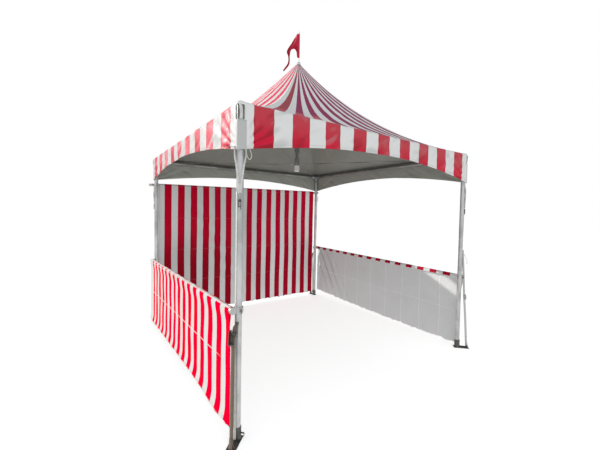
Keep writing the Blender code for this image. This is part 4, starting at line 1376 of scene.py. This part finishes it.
def wall_up(row, drop):
    """Metres up the cut from the hem."""
    return drop * min(row, 1) + pi * RAIL_LOOP_RADIUS * max(0, min(row - 1, 1)) + FLAP_HEIGHT * max(0, row - 2)


def between(ends, place):
    return ends[0] + (ends[1] - ends[0]) * (place + LEG_OFFSET) / (2 * LEG_OFFSET)


# %% Folds of the walls
LEFT_BOW = 0.012              # the left wall hollows this much below its rail
LEFT_KICK = 0.020             # and its hem stands out this much
GATHER_WIDTH = 0.14           # the front edge of a half wall is gathered over this width
print("left wall hollows", LEFT_BOW, "m and its hem stands out", LEFT_KICK, "m")


def sag_folds(name, along, share):
    """Outward push of the cloth by its folds, in metres: on the right wall slanting creases towards its far end,
    on the rear one a slow wave and a bundle of creases that leans across its middle."""
    free = max(0.0, sin(pi * share)) ** 0.6
    edge = min(1.0, max(0.0, 1.505 - abs(along)) / 0.12)
    fold = 0.006 * ripple(along, share * 0.9, 0.28, 11.0) + 0.003 * ripple(along, share * 0.4, 0.09, 5.0)
    if name == "wall_right":
        reach = (1.45 - along) / 0.95
        if 0 < reach < 1:
            lean = reach * 0.95 - (1 - share) * 0.55
            creased = 1 - 2 * abs(sin(lean * 17.0))
            fold += 0.036 * creased * exp(-((lean - 0.05) / 0.30) ** 2) * (1 - reach) ** 0.5
    if name == "wall_rear":
        fold += 0.010 * sin(along * 5.1 + 2.4 * share) * (1 - 0.6 * share)
        slant = along + 0.007 + 1.07 * share
        fold += 0.011 * sin(slant * 44.0) * exp(-(slant / 0.17) ** 2)
    return fold * free * edge


def left_bow(along, share):
    """The left wall's smooth push: hollow under the rail, out again at the hem."""
    hang = min(1.0, (1 - share) / 0.13)
    kick = min(1.0, share / 0.14)
    bowed = -LEFT_BOW * hang * hang * (3 - 2 * hang) + LEFT_KICK * (1 - kick) ** 2
    return bowed * (min(1.0, (1.52 + along) / 0.10) if along > -1.52 else 0.0)


def gathered(name, along, below):
    """How far the front edge of a half wall is drawn back, below metres under the rail."""
    if name == "wall_left":
        return 0.032 * max(0.0, 1 - below / 0.18) * clamp(1 - (along + 1.545) / GATHER_WIDTH)
    if name == "wall_right":
        return 0.034 * clamp(below / 0.20) * clamp(1 - (along + 1.50) / GATHER_WIDTH)
    return 0.0


def hem_lift(name, along):
    """The free edge waves a little up and down, and is raised in its middle."""
    size, arch = WALLS[name]["hem"], WALLS[name]["arch"]
    lift = arch * max(0.0, sin(pi * (along + 1.5) / 3.0))
    if name == "wall_left":
        lift -= 0.026 * exp(-((along + 1.2) / 0.18) ** 2)
    return size * (0.6 * ripple(along, 0.0, 0.16, 21.0) + 0.5 * ripple(along, 0.0, 0.05, 22.0)) + lift


# %% Hang a wall over its rail
def make_wall(name, materials):
    wall = WALLS[name]
    side, span, flap = wall["side"], wall["span"], wall["flap"]
    seams = [wall["first"] + k * wall["stripe"] for k in range(WALL_STRIPES + 2)]
    inside = [seam for seam in seams if span[0] + 0.004 < seam < span[1] - 0.004]
    columns = spread(sorted({*span, *flap, *inside}), 0.033)
    rows = spread([0.0, 0.028, 1.0], 0.026)
    rows += [1 + k / RAIL_LOOP_ROWS for k in range(1, RAIL_LOOP_ROWS + 1)] + [2.33, 2.66, 3.0]

    def drop_at(along):
        return between(wall["rail"], along) - between(wall["bottom"], along)

    def hang_place(along, row):
        drop = drop_at(along)
        below = max(0.0, 1 - row) * drop
        past_flap = clamp(max(flap[0] - along, along - flap[1]) / 0.02)
        turned_in = max(0.0, RAIL_END - along) * max(0.0, 1 - below / 0.10)
        radius = RAIL_LOOP_RADIUS + CLAMP_SWELL * past_flap - turned_in * 0.92
        out, height = wall_profile(row, drop, radius)
        push = sag_folds(name, along, min(row, 1)) + (left_bow(along, min(row, 1)) if side == -1 else 0.0)
        height += hem_lift(name, along) * max(0.0, 1 - row * 3)
        sway = wall["sway"] * ripple(along * 0.7, row * 1.2, 0.35, 31.0) * (sin(pi * row) if row < 1 else 0)
        along += turned_in * 0.8
        along += gathered(name, along, below)
        height += between(wall["rail"], along)
        if side == 0:
            return Vector((along + sway, WALL_OFFSET - out + push, height))
        return Vector((side * (WALL_OFFSET + out + push), along + sway, height))

    sheet = cut_sheet(columns, rows, lambda along, row: (along - span[0], wall_up(row, drop_at(along))),
                      lambda along, row: wall_up(row, drop_at(along)))
    mark_points(sheet, "over", lambda along, row: row)
    shown_side = 1 if side else -1
    mark_points(sheet, "ridge", lambda along, row: shown_side * sag_folds(name, along, min(row, 1)) / WALL_RIDGE)
    middles = {face: face.calc_center_median() for face in sheet.faces}
    notches = [face for face, middle in middles.items()
               if middle.y > NOTCH_ROW and not flap[0] < middle.x < flap[1]]
    bmesh.ops.delete(sheet, geom=notches, context="FACES")
    drape(sheet, hang_place)
    turn_outward(sheet, lambda place: place.z, Vector((side, 0, 0)) if side else Vector((0, -1, 0)))
    piece = finish_piece(name + "_cloth", sheet, materials, [name])
    thicken(piece, 0.0010, back_slot=1)
    length = span[1] - span[0]
    tall = sum(wall_up(3, drop_at(end)) for end in span) / 2
    print(name, "cut:", round(length, 3), "by", round(tall, 3))


# %% Wall finishes and the three walls
def wall_materials(name, red, folds, gloss=0.10, white=WALL_WHITE, share=0.54, **printed):
    wall = WALLS[name]
    first = wall["first"] - wall["span"][0]
    bounds = (first, first + WALL_STRIPES * wall["stripe"])
    stripes = striped_vinyl(name + "_stripes", red, bounds, wall["stripe"], (0.42, 0.62), gloss, white, share,
                            folds, **printed)
    return [stripes, plain_vinyl(name + "_back", WALL_BACK, folds, crumple=0.005, grime=0.10)]


# the left wall's red and white are its lit copy, set for the lamp's light on it
make_wall("wall_left", wall_materials("wall_left", SUNLIT_WALL_RED, (0.31, 0.42), 0.0, SUNLIT_WALL_WHITE, 0.56,
                                      worn_fold=0.8, outer_edge=-1.0))
make_wall("wall_right", wall_materials("wall_right", SHADE_RED, (0.31, 0.42)))
make_wall("wall_rear", wall_materials("wall_rear", REAR_RED, (0.62, 0.49), 0.05, worn_fold=0.06,
                                      low_red=REAR_LOW_RED))
print("walls hung:", len(WALLS))

# %% [markdown]
# ## The pennant
# A thin cloth triangle is tied to the pole by its short side. In still air it droops: the cloth falls away from
# the pole, folds over itself and leaves a thin tail. Its upper and lower edges each follow a smooth route, and
# the cloth between them is gathered in upright folds.

# %% Drape the pennant
PENNANT_HOIST = 0.31
PENNANT_LENGTH = 0.40
PENNANT_ROWS = 20
UPPER_EDGE = ((-0.010, 4.036), (0.026, 4.044), (0.062, 4.000), (0.099, 3.922), (0.160, 3.812), (0.141, 3.735),
              (0.147, 3.660), (0.212, 3.568))
LOWER_EDGE = ((-0.010, 3.722), (0.022, 3.735), (0.032, 3.800), (0.060, 3.850), (0.104, 3.842), (0.121, 3.768),
              (0.127, 3.642), (0.195, 3.547))
POLE_ROOM = 0.0105            # the sleeve passes this far before the pole's middle
EDGE_STEPS = 10
PENNANT_HEADING = radians(-34.9)
pennant_along = Vector((-cos(PENNANT_HEADING), -sin(PENNANT_HEADING), 0))
pennant_face = crosswise(pennant_along)
upper_route, lower_route = [smooth_route(beside(Vector(), pennant_along, points), EDGE_STEPS)
                            for points in (UPPER_EDGE, LOWER_EDGE)]
PENNANT_STEPS = len(upper_route) - 1


def pennant_place(step, share):
    """step counts along the edges from the pole, share goes from the lower edge to the upper one."""
    k = round(step)
    point = lower_route[k].lerp(upper_route[k], share)
    out = k / PENNANT_STEPS
    settled = clamp((out - 0.10) * 7)
    fold = 0.026 * sin(2 * pi * (1.2 * out + 1.5 * share)) * settled * (1 - 0.55 * out)
    sleeve = POLE_ROOM * (1 - settled)
    return point + pennant_face * (fold + sleeve + 0.004 * ripple(out, share, 0.2, 3.0) * min(1.0, out * 6))


def pennant_cut(step, share):
    out = step / PENNANT_STEPS
    return PENNANT_LENGTH * out, PENNANT_HOIST * (share - 0.5) * (1 - out)


pennant_rows = [k / PENNANT_ROWS for k in range(PENNANT_ROWS + 1)]
pennant_bm = cut_sheet(list(range(PENNANT_STEPS + 1)), pennant_rows, pennant_cut)
drape(pennant_bm, pennant_place)
pennant_area = sum(face.calc_area() for face in pennant_bm.faces)
pennant = finish_piece("pennant_cloth", pennant_bm, [pennant_cloth], ["pennant"])
thicken(pennant, 0.0008, offset=0.0)
print("pennant area:", round(pennant_area, 4), "of a cut of", round(PENNANT_HOIST * PENNANT_LENGTH / 2, 4))

# %% [markdown]
# ## Hardware on the frame
# The tubes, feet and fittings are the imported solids, so only their small parts are added: bolts on the clamps
# and corner fittings, sleeves at the ends of the wire ropes and a pin through each foot.

# %% Bolts and handles on the rail clamps
RAIL_LEGS = {"left": ("front_left", "rear_left"), "right": ("front_right", "rear_right"),
             "rear": ("rear_left", "rear_right")}
CLAMP_SEAT = 0.0315           # from the leg's axis
for side, corners in RAIL_LEGS.items():
    bolts = bmesh.new()
    for corner, height in zip(corners, WALLS["wall_" + side]["rail"]):
        axis = leg_axis(corner) + raised(height)
        inward, along = eave_headings(corner)[::-1] if side == "rear" else eave_headings(corner)
        for lift in (-0.012, 0.012):
            add_bolt(bolts, axis + inward * CLAMP_SEAT + raised(lift), inward, 0.0062)
        seat = axis - along * CLAMP_SEAT
        handle = seat - along * 0.017
        add_rod(bolts, seat, seat - along * 0.020, 0.0045, sides=12, rounding=0.0008)
        add_rod(bolts, handle - raised(0.020), handle + raised(0.020), 0.0032, 10, 0.0008)
    finish_metal("rail_" + side + "_bolts", bolts, dark_steel)
print("rails with bolted clamps:", len(RAIL_LEGS))

# %% [markdown]
# ## Collar over the crown
# A white moulded collar covers the hole in the cloth at the peak. Its section is a ring of four points, spun once
# round the mast.

# %% Collar over the crown
COLLAR = ((0.029, 3.634), (0.0212, 3.668), (0.0222, 3.669), (0.0305, 3.634))      # radius and height
collar = bmesh.new()
section = [collar.verts.new((radius, 0, height)) for radius, height in COLLAR]
edges = [collar.edges.new((section[k], section[k - 1])) for k in range(len(section))]
bmesh.ops.spin(collar, geom=section + edges, cent=(0, 0, 0), axis=(0, 0, 1), angle=2 * pi, steps=28,
               use_merge=True)
bmesh.ops.recalc_face_normals(collar, faces=collar.faces)
finish_piece("peak_collar", collar, [collar_plastic])
print("collar top:", max(height for radius, height in COLLAR))

# %% [markdown]
# ## Bolts and pins
# Bolts clamp the eave tubes in the corner fittings and hold the foot plates. A pin with a pull ring goes through
# each foot and leg.

# %% Bolts on the corner fittings, and pins in the feet
SOCKET_RADIUS = 0.0287
EAVE_AXIS_Z = 2.3735
CORNER_BOLT_Z = 2.285
CORNER_BOLT = 0.0068
PIN_Z = 0.055
PLATE_TOP = 0.0078
PLATE_BOLTS = ((0.052, -0.021), (0.052, 0.021), (0.088, 0.0))
for corner in CORNERS:
    axis = leg_axis(corner)
    outward = axis.normalized()
    sideways = crosswise(outward)
    bolts = bmesh.new()
    for along in eave_headings(corner):
        under_tube = raised(EAVE_AXIS_Z - SOCKET_RADIUS + 0.001)
        add_bolt(bolts, axis + along * 0.095 + under_tube, raised(-1), CORNER_BOLT)
    add_bolt(bolts, axis - outward * (SOCKET_RADIUS + 0.0005) + raised(CORNER_BOLT_Z), -outward, CORNER_BOLT)
    finish_metal("corner_bolts_" + corner, bolts, dark_steel)
    pins = bmesh.new()
    end = axis + sideways * 0.052 + raised(PIN_Z)
    add_rod(pins, axis - sideways * 0.040 + raised(PIN_Z), end, 0.0052, 12, 0.001)
    add_ring(pins, end + raised(-0.012), sideways, 0.012, 0.0016, steps=20)
    heading = tie_heading(corner)
    for away, across in PLATE_BOLTS:
        spot = axis + heading * away + crosswise(heading) * across
        add_bolt(pins, spot + raised(PLATE_TOP), raised(1), 0.0065)
    finish_metal("foot_pins_" + corner, pins, dark_steel)
print("corner fittings and feet bolted:", len(CORNERS))

# %% [markdown]
# ## Ends of the wire ropes
# Each rope from a corner to the mast has pressed sleeves at both ends and a turnbuckle near the corner, which is
# two thin rods between two collars.

# %% End sleeves and turnbuckles of the wire ropes
CABLE_INNER = (0.0325, 2.3135)
CABLE_OUTER = (-0.052, 2.357)
SLEEVE_RADIUS = 0.0066
TURNBUCKLE = (0.085, 0.215)           # from the outer end
for corner in CORNERS:
    axis = leg_axis(corner)
    outward = axis.normalized()
    near, far = beside(Vector(), outward, [CABLE_INNER])[0], beside(axis, outward, [CABLE_OUTER])[0]
    pull = (far - near).normalized()
    fittings = bmesh.new()
    add_rod(fittings, near + pull * 0.012, near + pull * 0.060, SLEEVE_RADIUS, 14, 0.001)
    add_rod(fittings, far - pull * 0.014, far - pull * 0.055, SLEEVE_RADIUS, 14, 0.001)
    for side in (-1, 1):
        shift = pull.cross(raised(1)).normalized() * side * 0.0085
        add_rod(fittings, *[far - pull * distance + shift for distance in TURNBUCKLE], 0.0028, 10, 0.0006)
    for distance in TURNBUCKLE:
        add_rod(fittings, far - pull * (distance - 0.008), far - pull * (distance + 0.008), 0.0118, 14, 0.0015)
    finish_metal("cable_fittings_" + corner, fittings, plated_steel)
print("wire ropes with fittings:", len(CORNERS))

# %% [markdown]
# ## Finishes for the imported parts
# The imported meshes stay as they are. Each gets the metal of its own direction, so that the drawing lines of the
# tubes run along them. The eave tubes and the mast get a darker, duller metal that paints the shade under the
# cloth.

# %% Dress the imported nodes
FINISHES = {
    "leg": tube_metal["z"], "mast_crown": tube_metal["z"], "rail_rear": tube_metal["x"],
    "rail_left": tube_metal["y"], "rail_right": tube_metal["y"],
    "mast_tube": shaded_metal["z"], "mast_jack": shaded_metal["z"],
    "eave_front": shaded_metal["x"], "eave_rear": shaded_metal["x"],
    "eave_left": shaded_metal["y"], "eave_right": shaded_metal["y"],
    "corner": cast_metal, "foot": dark_steel, "cable": cable_metal,
    "mast_cap": white_plastic, "flag_pole": white_plastic,
}
for name, packed in frame["nodes"].items():
    finish = FINISHES.get(name) or FINISHES.get(name.split("_")[0])
    if finish:
        packed.data.materials.clear()
        packed.data.materials.append(finish)
print("packed nodes dressed:", sum(not packed.hide_render for packed in frame["nodes"].values()))

# %% Keep the firm lamp off the floor
tent_only = bpy.data.collections.new("lit_by_key")
for piece in bpy.context.scene.objects:
    if piece.type == "MESH" and piece != floor:
        tent_only.objects.link(piece)
key.light_linking.receiver_collection = tent_only
